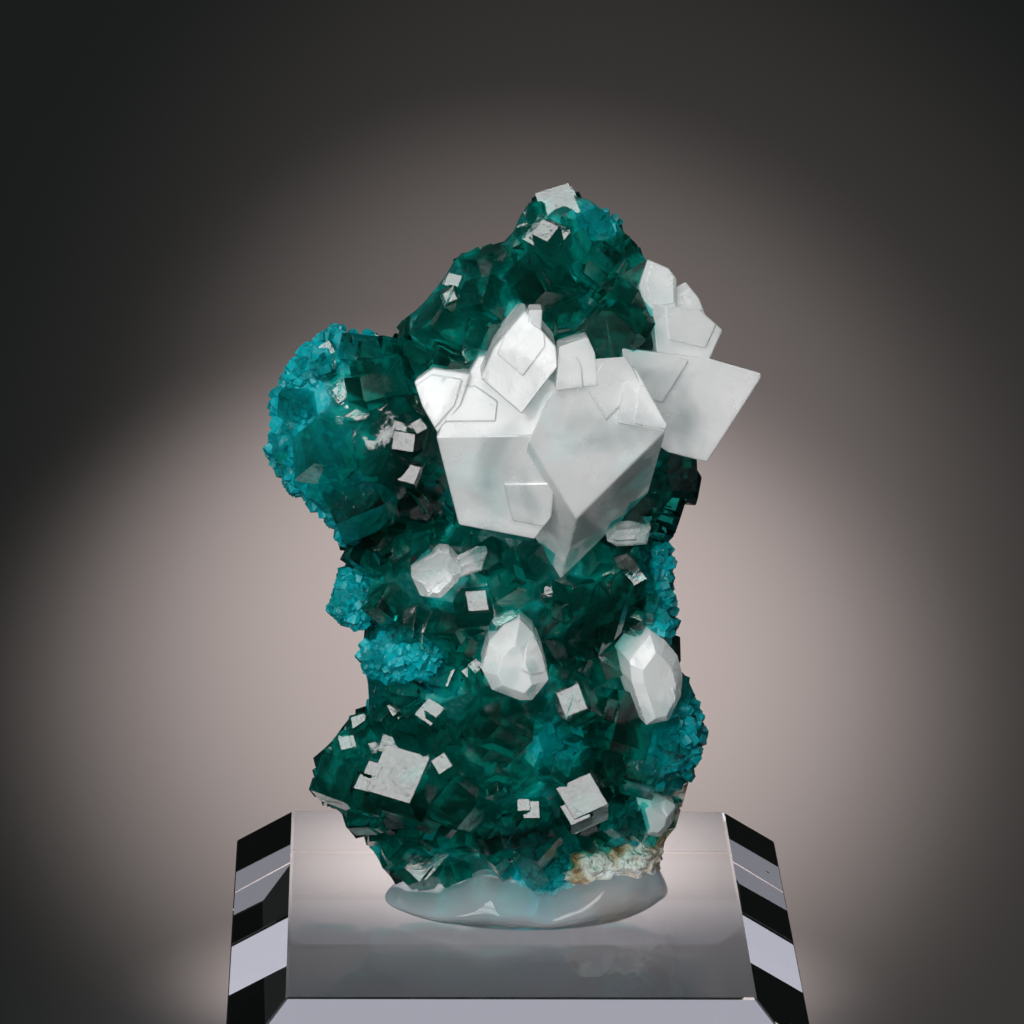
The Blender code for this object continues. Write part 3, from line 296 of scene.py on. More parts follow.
# Each row is a LitCrystal
LIT_CRYSTALS = (
    (2.8, 84.4, 4.6, 6.0, 112, 1.6),
    (1.7, 81.0, 4.4, 5.8, 75, 2.6),
    (-6.5, 75.5, 2.2, 3.6, 20, 0.7),
    (-6.2, 76.9, 1.8, 3.0, 60, 0.5),
    (-4.7, 70.5, 2.8, 4.2, 200, 1.0),
    (-14.3, 64.8, 2.4, 3.8, 80, 0.3),
    (-15.8, 66.9, 2.4, 3.8, 5, 0.8),
    (-10.3, 62.4, 2.6, 4.2, 320, 0.3),
    (-9.8, 59.4, 2.4, 4.0, 240, 0.3),
    (-9.0, 63.8, 1.6, 2.8, 100, 0.3),
    (15.0, 57.9, 3.4, 4.8, 50, 1.0),
    (8.7, 50.3, 4.8, 6.4, 100, 1.4),
    (-3.8, 47.7, 3.8, 5.4, 125, 1.6),
    (2.5, 48.7, 2.0, 3.4, 40, 0.8),
    (10.6, 52.0, 1.7, 2.8, 70, 0.8),
    (-4.1, 41.0, 2.0, 3.4, 90, 0.8),
    (4.7, 38.4, 4.4, 6.0, 20, 1.8),
    (-7.7, 37.2, 2.8, 4.2, 80, 1.4),
    (-10.8, 37.6, 1.8, 3.0, 10, 0.8),
    (-14.0, 36.2, 2.4, 3.8, 30, 0.8),
    (-15.1, 34.6, 2.6, 4.2, 120, 0.8),
    (-10.4, 31.4, 6.2, 9.0, 62, 3.2),
    (-13.5, 30.4, 3.0, 5.2, 62, 2.6),
    (-6.6, 32.3, 2.2, 3.4, 10, 1.2),
    (-8.2, 22.9, 5.0, 6.8, 175, 2.0),
    (1.3, 27.9, 2.2, 3.6, 130, 0.8),
    (5.8, 29.2, 5.0, 7.0, 285, 2.4),
)

# Each row of these is a CalciteRow
CALCITE_GROUP = (
    (
        ((-7.45, 62.8), (-6.2, 57.8), (-5.4, 54.7), (1.2, 53.4), (2.6, 55.4), (3.2, 63.0)),
        11.6, (-0.12, 0.02, 1.0), 8.0, (0.05, 0.1, -1.0),
    ),
    (
        ((-7.45, 62.6), (3.2, 62.7), (3.6, 67.0), (-1.0, 70.4), (-3.9, 70.1), (-6.4, 65.3)),
        11.6, (-0.12, 0.42, 0.90), 8.0, (0.05, -0.1, -1.0),
    ),
    (
        (
            (12.4, 63.5), (10.8, 67.0), (8.7, 70.2), (6.2, 70.0),
            (3.8, 68.6), (1.9, 65.9), (0.5, 62.4), (4.8, 55.3),
        ),
        13.0, (0.03, 0.16, 0.98), 10.7, (-0.085, -0.75, -0.655),
    ),
    (
        ((-0.1, 64.9), (2.9, 69.2), (2.7, 71.0), (0.0, 74.2), (-2.6, 70.9), (-3.7, 68.1)),
        14.6, (-0.05, 0.34, 0.92), 5.6, (0.0, -0.1, -1.0),
    ),
    (
        ((0.1, 72.6), (0.4, 74.3), (1.5, 74.3), (1.4, 71.6)),
        12.4, (0.1, 0.2, 0.95), 2.4, (0.0, -0.1, -1.0),
    ),
    (
        ((3.0, 71.0), (5.4, 71.9), (6.1, 70.4), (6.4, 67.5), (2.8, 67.0)),
        12.2, (0.05, 0.30, 0.94), 5.0, (0.0, -0.2, -1.0),
    ),
    (
        ((8.2, 64.1), (12.3, 63.3), (12.5, 64.0), (9.6, 69.1), (8.8, 69.2)),
        14.6, (0.10, 0.50, 0.85), 3.4, (0.0, -0.25, -1.0),
    ),
    (
        ((9.0, 64.0), (12.6, 61.5), (16.0, 60.6), (20.4, 68.3), (20.4, 68.7), (16.0, 70.0), (8.4, 70.9)),
        8.6, (0.10, 0.04, 1.0), 2.4, (0.05, -0.28, -1.0),
    ),
    (
        ((10.9, 74.9), (11.4, 70.6), (15.8, 69.6), (17.0, 72.6), (15.0, 74.4)),
        7.4, (0.26, 0.10, 0.95), 5.0, (-0.05, -0.34, -1.0),
    ),
    (
        ((12.2, 76.0), (13.2, 73.6), (15.6, 73.6), (14.9, 75.4), (13.7, 76.9)),
        5.4, (0.25, 0.15, 0.95), 4.0, (0.0, -0.36, -1.0),
    ),
    (
        ((9.7, 76.4), (10.6, 73.6), (13.0, 74.0), (12.9, 77.2), (12.2, 78.1), (10.4, 78.9)),
        6.4, (0.10, 0.25, 0.95), 4.6, (0.0, -0.36, -1.0),
    ),
    (
        ((-9.4, 67.8), (-8.7, 65.6), (-7.4, 63.2), (-5.4, 65.6), (-4.6, 68.5), (-7.8, 69.0)),
        9.4, (-0.30, 0.30, 0.90), 3.2, (0.1, -0.2, -1.0),
    ),
)

CALCITE_MIDDLE = (
    (
        (
            (0.1, 45.3), (-1.3, 44.8), (-2.6, 43.2), (-3.2, 40.7), (-2.3, 38.8),
            (0.2, 37.8), (1.3, 37.8), (2.7, 39.7), (2.1, 42.0), (1.3, 44.0),
        ),
        12.0, (0.05, 0.15, 0.98), 5.0, (0.0, 0.0, -1.0), 1.3,
    ),
)

CALCITE_RIGHT = (
    (
        (
            (12.0, 44.4), (10.1, 41.6), (10.3, 39.7), (11.7, 35.6), (13.8, 36.1),
            (14.8, 38.4), (14.9, 40.2), (14.4, 42.1), (13.3, 43.5),
        ),
        8.0, (0.45, 0.15, 0.90), 5.0, (-0.3, 0.0, -1.0), 1.0,
    ),
)

CALCITE_PALE = (
    (
        (
            (-9.5, 49.6), (-8.7, 47.8), (-6.9, 47.6), (-5.4, 49.2), (-5.1, 50.3),
            (-6.2, 51.6), (-7.0, 51.7), (-8.4, 50.7),
        ),
        10.6, (-0.15, 0.20, 0.97), 3.4, (0.0, 0.0, -1.0), 0.8,
    ),
    (
        ((-5.9, 50.9), (-5.6, 49.6), (-3.4, 50.4), (-2.9, 52.0), (-3.8, 52.0)),
        9.9, (0.10, 0.25, 0.96), 2.0, (0.0, 0.0, -1.0), 0.3,
    ),
)

CALCITE_LEDGE = (
    (
        ((7.5, 53.2), (8.4, 52.7), (11.0, 52.9), (11.3, 54.4), (8.3, 54.1)),
        9.8, (0.10, 0.30, 0.95), 2.6, (0.0, 0.0, -1.0), 0.3,
    ),
)

CALCITE_FOOT = (
    (
        ((10.8, 28.6), (11.7, 25.2), (13.0, 24.9), (14.1, 26.2), (14.3, 27.8), (12.3, 29.3)),
        5.4, (0.35, 0.25, 0.90), 4.2, (-0.1, 0.0, -1.0), 0.8,
    ),
)

# The crest of the gel: across, height above the block
GEL_CREST = (
    (-12.0, 1.8), (-9.8, 2.7), (-6.6, 2.6), (-5.0, 3.5), (-2.8, 4.7), (0.0, 3.6),
    (3.0, 2.6), (5.0, 3.5), (8.0, 5.8), (10.4, 6.8), (12.4, 6.0), (14.0, 3.8),
)

# Where the crust and the crystals on it turn turquoise: across, up, radius
TURQUOISE: tuple[tuple[float, float, float], ...] = (
    (-20.5, 64.5, 4.6), (-18.8, 69.2, 3.6), (-15.8, 71.8, 2.4), (-18.6, 58.6, 3.2), (-16.2, 55.4, 2.2),
    (-14.7, 47.8, 2.6), (-12.6, 43.4, 1.9), (-10.4, 42.0, 2.3), (-8.3, 40.9, 1.8), (-13.6, 39.2, 1.6),
    (12.6, 49.2, 2.2), (12.4, 52.6, 1.9), (13.3, 45.2, 1.7), (14.3, 35.4, 3.2), (12.8, 32.4, 2.0),
    (2.4, 21.8, 3.2), (1.0, 24.8, 2.0), (10.6, 26.4, 1.9), (3.6, 34.0, 2.0), (6.0, 82.8, 1.6),
    (11.3, 72.4, 1.5), (4.4, 72.0, 1.3), (-7.0, 57.2, 1.3), (-14.0, 58.3, 1.3), (-6.5, 24.3, 1.1),
)

# Smooth crystal groups in the left lobe, written like the lumps
MELONS: tuple[tuple[Way, Way], ...] = (
    ((-12.0, 61.8, 4.6), (5.6, 5.4, 5.0)),
    ((-9.6, 59.0, 4.0), (4.6, 4.8, 4.0)),
    ((-12.8, 58.2, 3.6), (3.6, 4.4, 3.2)),
    ((-14.6, 65.2, 3.4), (3.2, 4.0, 2.4)),
)


class Growth(Enum):
    """A lump's surface: how finely it is divided, how far it goes in and out, and how closely."""

    SMOOTH = (4, 0.10, 2.4)
    CRUSTED = (5, 0.24, 3.2)
    MELON = (5, 0.10, 1.8)


class LargeCrystal(NamedTuple):
    """A large crystal, as its row in LARGE_CRYSTALS gives it."""

    across: float
    up: float
    width: float
    length: float
    tip: Way
    turn: float
    proud: float


class LitCrystal(NamedTuple):
    """A crystal with one end face to the light, as its row in LIT_CRYSTALS gives it."""

    across: float
    up: float
    width: float
    length: float
    way: float
    proud: float


def on_plane(across: float, up: float) -> Vector:
    """The point of the upright plane that a place is read on."""
    return Vector((across, 0.0, up)) * MM


def seen(across: float, up: float, towards: float) -> Vector:
    """The point on the line of sight through a place, so many millimetres in front of the plane."""
    return on_plane(across, up).lerp(EYE, towards * MM / -EYE.y)


def pointing(way: Iterable[float]) -> Vector:
    """A direction written as right, up and towards the viewer."""
    right, up, towards = way
    return Vector((right, -towards, up)).normalized()


def sighted(place: Place, point: Vector, normal: Vector) -> Vector:
    """Where the line of sight through a place meets a plane.

    Args:
        place: The place.
        point: A point of the plane.
        normal: The plane's normal.

    Returns:
        Where they meet.
    """
    line = (on_plane(*place) - EYE).normalized()
    return EYE + line * ((point - EYE).dot(normal) / line.dot(normal))


def outline_place(point: Vector) -> Vector:
    """The place (across, up) that a point is seen at, in metres on the upright plane."""
    crossing = EYE + (point - EYE) * (-EYE.y / (point.y - EYE.y))
    return Vector((crossing.x, crossing.z))


def nearest_outline(place: Vector) -> tuple[bool, Vector]:
    """Compares a place with OUTLINE.

    Args:
        place: The place, in metres on the upright plane.

    Returns:
        Whether it is inside, and the nearest place on the outline.
    """
    corners = [Vector(corner) * MM for corner in OUTLINE]
    within = False
    best = corners[0]
    for here, there in zip(corners, corners[1:] + corners[:1]):
        if (here.y > place.y) != (there.y > place.y):
            at = here.x + (there.x - here.x) * (place.y - here.y) / (there.y - here.y)
            within = within != (place.x < at)
        run = there - here
        share = min(1.0, max(0.0, (place - here).dot(run) / run.length_squared))
        nearest = here + run * share
        if (nearest - place).length < (best - place).length:
            best = nearest
    return within, best


def outside_by(point: Vector) -> Vector:
    """The sideways move that brings a point in to OUTLINE, or no move if it is inside."""
    place = outline_place(point)
    within, nearest = nearest_outline(place)
    if within:
        return Vector()
    move = nearest - place
    return Vector((move.x, 0.0, move.y))


def turquoise_share(point: Vector) -> float:
    """How turquoise the growth is at a point, from 0 to 1."""
    place = outline_place(point) / MM
    best = 0.0
    for across, up, radius in TURQUOISE:
        away = math.hypot(place.x - across, place.y - up) / radius
        best = max(best, min(1.0, max(0.0, TURQUOISE_REACH - away)))
    return best


def cleave(planes: Sequence[tuple[Vector, Vector]], centre: Vector, reach: float) -> Solid:
    """Cuts a convex solid from a cube.

    Args:
        planes: (point, outward normal) of each face.
        centre: Middle of the cube.
        reach: How far the cube reaches from it.

    Returns:
        The solid.
    """
    solid = bmesh.new()
    bmesh.ops.create_cube(solid, size=2 * reach, matrix=Matrix.Translation(centre))
    for point, normal in planes:
        everything = solid.verts[:] + solid.edges[:] + solid.faces[:]
        cut = bmesh.ops.bisect_plane(
            solid, geom=everything, dist=1e-7, plane_co=point, plane_no=normal, clear_outer=True
        )
        rim = [part for part in cut["geom_cut"] if isinstance(part, bmesh.types.BMEdge)]
        if rim:
            bmesh.ops.contextual_create(solid, geom=rim)
    bmesh.ops.recalc_face_normals(solid, faces=solid.faces[:])
    return solid


def round_edges(solid: Solid, width: float) -> None:
    """Takes the sharpness off every edge of a solid."""
    bmesh.ops.bevel(
        solid, geom=solid.edges[:], offset=width, segments=1, profile=0.5, affect="EDGES", material=-1,
        clamp_overlap=True,
    )


def tinted(solid: Solid, share: float, shade: float = 1.0) -> Solid:
    """Marks a solid's faces with how turquoise it is and how much light it lets through."""
    for name, value in (("tint", share), ("shade", shade)):
        layer = solid.faces.layers.float.new(name)
        for face in solid.faces:
            face[layer] = value
    return solid


def gathered(solids: Iterable[Solid]) -> Solid:
    """Several solids as loose bodies in one bmesh. The solids are used up."""
    whole = bmesh.new()
    for solid in solids:
        mesh = bpy.data.meshes.new("piece")
        solid.to_mesh(mesh)
        solid.free()
        whole.from_mesh(mesh)
        bpy.data.meshes.remove(mesh)
    return whole


def plain_object(name: str, solid: Solid) -> bpy.types.Object:
    """An unlinked object from a bmesh, which is used up."""
    mesh = bpy.data.meshes.new(name)
    solid.normal_update()
    solid.to_mesh(mesh)
    solid.free()
    return bpy.data.objects.new(name, mesh)


def combined(solids: Sequence[Solid]) -> Solid:
    """Joins overlapping solids into one, all in one go. The solids are used up."""
    scratch = bpy.data.collections.new("scratch")
    scene_collection = bpy.context.scene.collection
    scene_collection.children.link(scratch)
    base = plain_object("base", solids[0])
    scene_collection.objects.link(base)
    for solid in solids[1:]:
        scratch.objects.link(plain_object("solid", solid))
    modifier = base.modifiers.new("Join", "BOOLEAN")
    modifier.operation = "UNION"
    modifier.solver = "MANIFOLD"
    modifier.operand_type = "COLLECTION"
    modifier.collection = scratch
    mesh = bpy.data.meshes.new_from_object(base.evaluated_get(bpy.context.evaluated_depsgraph_get()))
    result = bmesh.new()
    result.from_mesh(mesh)
    for used in [base, *scratch.objects]:
        data = used.data
        bpy.data.objects.remove(used)
        bpy.data.meshes.remove(data)
    bpy.data.meshes.remove(mesh)
    bpy.data.collections.remove(scratch)
    return result


def lump(place: Way, radii: Way, growth: Growth) -> Solid:
    """A lump: a stretched ball whose surface is pushed in and out.

    Args:
        place: Across, up and towards of its middle.
        radii: Half width, half depth and half height, in millimetres.
        growth: What its surface is like. A melon may reach over OUTLINE, the others are kept in.

    Returns:
        The lump.
    """
    fineness, height, pitch = growth.value
    centre = seen(*place)
    ball = bmesh.new()
    bmesh.ops.create_icosphere(ball, subdivisions=fineness, radius=1.0)
    for vert in ball.verts:
        way = vert.co.normalized()
        rough = 1.0 + height * noise.noise(way * pitch + Vector(place))
        stretched = Vector([part * radius for part, radius in zip(way, radii)])
        point = centre + stretched * MM * rough
        vert.co = point if growth is Growth.MELON else point + outside_by(point)
    return ball


def lumps(rows: Iterable[tuple[Way, Way]], growth: Growth) -> list[Solid]:
    """A lump for each row of a table."""
    return [lump(place, radii, growth) for place, radii in rows]


def melons() -> list[Solid]:
    """Crystal groups grown so close together that the surface of each is one smooth curve."""
    made = lumps(MELONS, Growth.MELON)
    for ball in made:
        for face in ball.faces:
            face.smooth = True
    return [tinted(ball, MELON_TINT) for ball in made]


def present(
    name: str, solid: Solid, finish: "Finish", nodes: Sequence[str]
) -> bpy.types.Object:
    """Makes a finished piece of a bmesh, puts it in the scene and hides the frame's nodes that it replaces.

    Args:
        name: The piece's name.
        solid: Its mesh, which is used up.
        finish: Its finish.
        nodes: The frame's nodes that it replaces.

    Returns:
        The piece.
    """
    piece = plain_object(name, solid)
    bpy.context.scene.collection.objects.link(piece)
    piece.data.materials.clear()
    piece.data.materials.append(finish.material())
    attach(piece, BODY)
    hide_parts(*nodes)
    LOG.info("%s: %d faces", name, len(piece.data.polygons))
    return piece


def feed(tree: Tree, node: Node, inputs: dict) -> None:
    """Sets a node's inputs: names or numbers, each with a value or with a socket to link."""
    for name, value in inputs.items():
        if isinstance(value, Socket):
            tree.links.new(value, node.inputs[name])
        else:
            node.inputs[name].default_value = value


def put(tree: Tree, kind: str, inputs: dict | None = None, **settings: object) -> Node:
    """Adds a node.

    Args:
        tree: The node tree to add it to.
        kind: The node's type.
        inputs: What goes into it, as for feed.
        **settings: The node's own settings.

    Returns:
        The node.
    """
    made = tree.nodes.new(kind)
    for name, value in settings.items():
        setattr(made, name, value)
    feed(tree, made, inputs or {})
    return made


def ramp(tree: Tree, fac: Socket, stops: Sequence[tuple[float, Way]]) -> Socket:
    """A colour ramp through (position, colour) stops.

    Args:
        tree: The node tree to add it to.
        fac: What drives it.
        stops: At least two (position, (red, green, blue)).

    Returns:
        The colour socket.
    """
    made = put(tree, "ShaderNodeValToRGB", {"Fac": fac})
    points = made.color_ramp.elements
    while len(points) < len(stops):
        points.new(1.0)
    for point, (position, colour) in zip(points, stops):
        point.position = position
        point.color = (*colour, 1.0)
    return made.outputs["Color"]


@dataclass(frozen=True)
class Finish:
    """A finish. Each kind builds its own material."""

    name: str

    def material(self) -> bpy.types.Material:
        """The material, made once and then shared."""
        known = bpy.data.materials.get(self.name)
        if known is not None:
            return known
        made = bpy.data.materials.new(self.name)
        made.use_nodes = True
        tree = made.node_tree
        self.build(tree, tree.nodes["Principled BSDF"], tree.nodes["Material Output"])
        return made

    def build(self, tree: Tree, shader: Node, out: Node) -> None:
        """Sets up the shader. Each kind of finish has its own."""
        raise NotImplementedError


class Cloud(NamedTuple):
    """Clouds over a surface: how many to a metre, the values between and in them, and how detailed."""

    scale: float
    low: float = 0.0
    high: float = 1.0
    detail: float = 4.0


class Relief(NamedTuple):
    """A bump pattern: its scale to a metre, its strength, its height in metres, and its clouds' detail."""

    scale: float
    strength: float
    height: float
    detail: float = 4.0


def new_group(
    name: str, numbers: dict[str, float], result: str
) -> tuple[Tree, bpy.types.NodeOutputs]:
    """Starts a node group with a vector input, number inputs and one number output.

    Args:
        name: The group's name.
        numbers: The number inputs and what they are when nothing is given.
        result: The output's name.

    Returns:
        The group, and its inputs' sockets by name.
    """
    group = bpy.data.node_groups.new(name, "ShaderNodeTree")
    group.interface.new_socket("Vector", in_out="INPUT", socket_type="NodeSocketVector")
    for each, value in numbers.items():
        made = group.interface.new_socket(each, in_out="INPUT", socket_type="NodeSocketFloat")
        made.default_value = value
    group.interface.new_socket(result, in_out="OUTPUT", socket_type="NodeSocketFloat")
    return group, put(group, "NodeGroupInput").outputs


@functools.cache
def clouds() -> Tree:
    """Node group: noise at a scale, stretched to run between two values."""
    group, given = new_group("Clouds", {"Scale": 100.0, "Detail": 4.0, "Low": 0.0, "High": 1.0}, "Value")
    wave = {name: given[name] for name in ("Vector", "Scale", "Detail")}
    noisy = put(group, "ShaderNodeTexNoise", {**wave, "Distortion": 0.4}).outputs["Fac"]
    limits = {"From Min": 0.33, "From Max": 0.67, "To Min": given["Low"], "To Max": given["High"]}
    spread = put(group, "ShaderNodeMapRange", {"Value": noisy, **limits}).outputs["Result"]
    put(group, "NodeGroupOutput", {"Value": spread})
    return group


@functools.cache
def growth_lines() -> Tree:
    """Node group: height of fine straight steps, which come and go over a crystal's faces."""
    group, given = new_group("Growth lines", {"Scale": 300.0}, "Height")
    heights = []
    for turn in ((0.4, 0.9, 0.2), (1.5, 0.3, 1.1)):
        turning = {"Vector": given["Vector"], "Rotation": turn}
        turned = put(group, "ShaderNodeMapping", turning).outputs["Vector"]
        bands = {"Vector": turned, "Scale": given["Scale"], "Distortion": 0.8, "Detail": 2.0}
        bands["Detail Scale"] = 0.3
        lines = put(group, "ShaderNodeTexWave", bands, wave_profile="SAW").outputs["Fac"]
        spots = {"Vector": turned, "Scale": 260.0, "Detail": 1.0}
        patch = put(group, "ShaderNodeTexNoise", spots).outputs["Fac"]
        where = put(group, "ShaderNodeMapRange", {"Value": patch, "From Min": 0.50, "From Max": 0.56})
        shown = put(group, "ShaderNodeMath", {0: lines, 1: where.outputs["Result"]}, operation="MULTIPLY")
        heights.append(shown.outputs["Value"])
    both = put(group, "ShaderNodeMath", dict(enumerate(heights)), operation="ADD")
    put(group, "NodeGroupOutput", {"Height": both.outputs["Value"]})
    return group


def cloudy(tree: Tree, cloud: Cloud) -> Socket:
    """The Clouds group on object coordinates, as its value socket."""
    coords = put(tree, "ShaderNodeTexCoord").outputs["Object"]
    values = {"Vector": coords, **{name.capitalize(): value for name, value in cloud._asdict().items()}}
    return put(tree, "ShaderNodeGroup", values, node_tree=clouds()).outputs["Value"]


def grainy(tree: Tree, relief: Relief) -> Socket:
    """Clouds at a relief's scale, as a height socket."""
    return cloudy(tree, Cloud(relief.scale, detail=relief.detail))


def lined(tree: Tree, relief: Relief) -> Socket:
    """The Growth lines group on object coordinates at a relief's scale, as a height socket."""
    values = {"Vector": put(tree, "ShaderNodeTexCoord").outputs["Object"], "Scale": relief.scale}
    return put(tree, "ShaderNodeGroup", values, node_tree=growth_lines()).outputs["Height"]


def bumped(tree: Tree, layers: Iterable[tuple[Socket, Relief]]) -> Socket:
    """Bumps laid over each other.

    Args:
        tree: The node tree to add them to.
        layers: The height socket and the relief of each.

    Returns:
        The normal socket.
    """
    normal = None
    for height, relief in layers:
        inputs = {"Height": height, "Strength": relief.strength, "Distance": relief.height}
        if normal is not None:
            inputs["Normal"] = normal
        normal = put(tree, "ShaderNodeBump", inputs).outputs["Normal"]
    return normal


def let_light_in(tree: Tree, shader: Node, out: Node, colour: Way) -> None:
    """Lets the light that casts shadows pass straight through a clear shader, tinted.

    Args:
        tree: The node tree.
        shader: The clear shader.
        out: The material's output.
        colour: What is left of the light after one surface.
    """
    through = put(tree, "ShaderNodeBsdfTransparent", {"Color": (*colour, 1.0)})
    path = put(tree, "ShaderNodeLightPath")
    sides = {0: path.outputs["Is Shadow Ray"], 1: shader.outputs["BSDF"], 2: through.outputs["BSDF"]}
    mix = put(tree, "ShaderNodeMixShader", sides)
    tree.links.new(mix.outputs["Shader"], out.inputs["Surface"])


@dataclass(frozen=True)
class DioptaseFinish(Finish):
    """Clear dark green crystal that is tinted turquoise where its faces say so."""

    deep: Way = (0.08, 0.88, 0.80)
    bright: Way = (0.12, 0.97, 1.0)
    ior: float = 1.66
    absorb: Way = (0.0, 0.70, 0.66)
    density: float = 460.0
    through: Way = (0.42, 0.86, 0.82)
    veils: Cloud = Cloud(450.0, 0.55, 1.0)
    polish: Cloud = Cloud(520.0, 0.0, 0.12)
    lines: Relief = Relief(420.0, 0.35, 0.04 * MM)
    grain: Relief = Relief(2600.0, 0.25, 0.04 * MM)

    def build(self, tree: Tree, shader: Node, out: Node) -> None:
        """Clear shader with a plain absorption, and light let straight through to what is inside."""
        tint, shade = (put(tree, "ShaderNodeAttribute", attribute_name=name) for name in ("tint", "shade"))
        colour = ramp(tree, tint.outputs["Fac"], ((0.0, self.deep), (1.0, self.bright)))
        factors = {0: shade.outputs["Fac"], 1: cloudy(tree, self.veils)}
        patchy = put(tree, "ShaderNodeMath", factors, operation="MULTIPLY").outputs["Value"]
        veiled = put(tree, "ShaderNodeVectorMath", {0: colour, "Scale": patchy}, operation="SCALE")
        surface = ((lined(tree, self.lines), self.lines), (grainy(tree, self.grain), self.grain))
        feed(tree, shader, {
            "Base Color": veiled.outputs["Vector"],
            "Roughness": cloudy(tree, self.polish),
            "Normal": bumped(tree, surface),
            "Transmission Weight": 1.0,
            "IOR": self.ior,
        })
        murk = {"Color": (*self.absorb, 1.0), "Density": self.density}
        feed(tree, out, {"Volume": put(tree, "ShaderNodeVolumeAbsorption", murk).outputs["Volume"]})
        let_light_in(tree, shader, out, self.through)


@dataclass(frozen=True)
class CrustFinish(Finish):
    """Fine-grained growth under and between the crystals, from near black to turquoise."""

    dark: Way = (0.0, 0.09, 0.08)
    green: Way = (0.0, 0.32, 0.29)
    turquoise: Way = (0.0, 0.19, 0.215)
    pale: Way = (0.0, 0.34, 0.38)
    ior: float = 1.4
    sugar: Cloud = Cloud(300.0, -0.50, 0.45)
    polish: Cloud = Cloud(1500.0, 0.25, 0.60)
    pits: Relief = Relief(1500.0, 0.5, 0.2 * MM)

    def build(self, tree: Tree, shader: Node, out: Node) -> None:
        """Sugary colour variation over the turquoise share."""
        tint = put(tree, "ShaderNodeAttribute", attribute_name="tint").outputs["Fac"]
        level = put(tree, "ShaderNodeMath", {0: tint, 1: cloudy(tree, self.sugar)}, operation="ADD")
        stops = ((0.0, self.dark), (0.30, self.green), (0.75, self.turquoise), (1.0, self.pale))
        cells = {"Vector": put(tree, "ShaderNodeTexCoord").outputs["Object"], "Scale": self.pits.scale}
        heights = put(tree, "ShaderNodeTexVoronoi", cells).outputs["Distance"]
        feed(tree, shader, {
            "Base Color": ramp(tree, level.outputs["Value"], stops),
            "Roughness": cloudy(tree, self.polish),
            "IOR": self.ior,
            "Normal": bumped(tree, ((heights, self.pits),)),
        })


@dataclass(frozen=True)
class CalciteFinish(Finish):
    """White calcite, cloudy, with clearer parts."""

    milk: Way = (0.95, 0.95, 0.95)
    grey: Way = (0.58, 0.63, 0.63)
    clarity: float = 0.36
    glow: float = 0.5
    glow_depth: float = 1.5 * MM
    ior: float = 1.6
    through: Way = (0.45, 0.46, 0.46)
    veils: Cloud = Cloud(130.0, detail=3.0)
    polish: Cloud = Cloud(240.0, 0.05, 0.35)
    lines: Relief = Relief(260.0, 0.2, 0.1 * MM)
    grain: Relief = Relief(700.0, 0.2, 0.1 * MM, 3.0)

    def build(self, tree: Tree, shader: Node, out: Node) -> None:
        """Clouds of milk over a partly clear shader, cleavage lines and frosted patches."""
        surface = ((lined(tree, self.lines), self.lines), (grainy(tree, self.grain), self.grain))
        feed(tree, shader, {
            "Base Color": ramp(tree, cloudy(tree, self.veils), ((0.0, self.grey), (0.5, self.milk))),
            "Roughness": cloudy(tree, self.polish),
            "Normal": bumped(tree, surface),
            "Transmission Weight": self.clarity,
            "Subsurface Weight": self.glow,
            "Subsurface Radius": (1.0, 1.0, 1.0),
            "Subsurface Scale": self.glow_depth,
            "IOR": self.ior,
        })
        let_light_in(tree, shader, out, self.through)


@dataclass(frozen=True)
class RockFinish(Finish):
    """Pale carbonate rock with rusty stains."""

    pale: Way = (0.70, 0.67, 0.62)
    tan: Way = (0.50, 0.38, 0.25)
    rust: Way = (0.30, 0.15, 0.06)
    stains: Cloud = Cloud(380.0, detail=6.0)
    polish: Cloud = Cloud(700.0, 0.5, 0.9)
    grain: Relief = Relief(2400.0, 0.7, 0.3 * MM)
    dents: Relief = Relief(500.0, 0.5, 0.6 * MM)

    def build(self, tree: Tree, shader: Node, out: Node) -> None:
        """Stains over a matt, grainy surface."""
        stops = ((0.35, self.pale), (0.62, self.tan), (0.90, self.rust))
        surface = ((grainy(tree, relief), relief) for relief in (self.grain, self.dents))
        feed(tree, shader, {
            "Base Color": ramp(tree, cloudy(tree, self.stains), stops),
            "Roughness": cloudy(tree, self.polish),
            "Normal": bumped(tree, surface),
        })


@dataclass(frozen=True)
class ClearFinish(Finish):
    """A clear material, such as acrylic or gel."""

    colour: Way = (1.0, 1.0, 1.0)
    smear: Cloud = Cloud(60.0, 0.0, 0.015)
    ior: float = 1.49
    transmission: float = 1.0
    through: Way = (0.92, 0.94, 0.95)

    def build(self, tree: Tree, shader: Node, out: Node) -> None:
        """A clear shader with faint smears that lets some light straight through to what is under it."""
        feed(tree, shader, {
            "Base Color": (*self.colour, 1.0),
            "Roughness": cloudy(tree, self.smear),
            "Transmission Weight": self.transmission,
            "IOR": self.ior,
        })
        let_light_in(tree, shader, out, self.through)


@dataclass(frozen=True)
class FloorFinish(Finish):
    """A plain pale floor."""

    colour: Way = (0.72, 0.72, 0.72)
    roughness: float = 0.7
    gloss: float = 0.2

    def build(self, tree: Tree, shader: Node, out: Node) -> None:
        """Matt and even."""
        feed(tree, shader, {
            "Base Color": (*self.colour, 1.0),
            "Roughness": self.roughness,
            "Specular IOR Level": self.gloss,
        })


DIOPTASE = DioptaseFinish("dioptase_green")
CRUST = CrustFinish("turquoise_crust")
CALCITE = CalciteFinish("calcite_milky")
CALCITE_CLEAR = CalciteFinish("calcite_clear", clarity=0.75, glow=0.2)
ROCK = RockFinish("matrix_stained")
ACRYLIC = ClearFinish("acrylic_polished")
GEL = ClearFinish(
    "gel_glossy", colour=(0.93, 0.95, 1.0), smear=Cloud(60.0, 0.0, 0.06), ior=1.42, transmission=0.82
)
FLOOR = FloorFinish("floor")


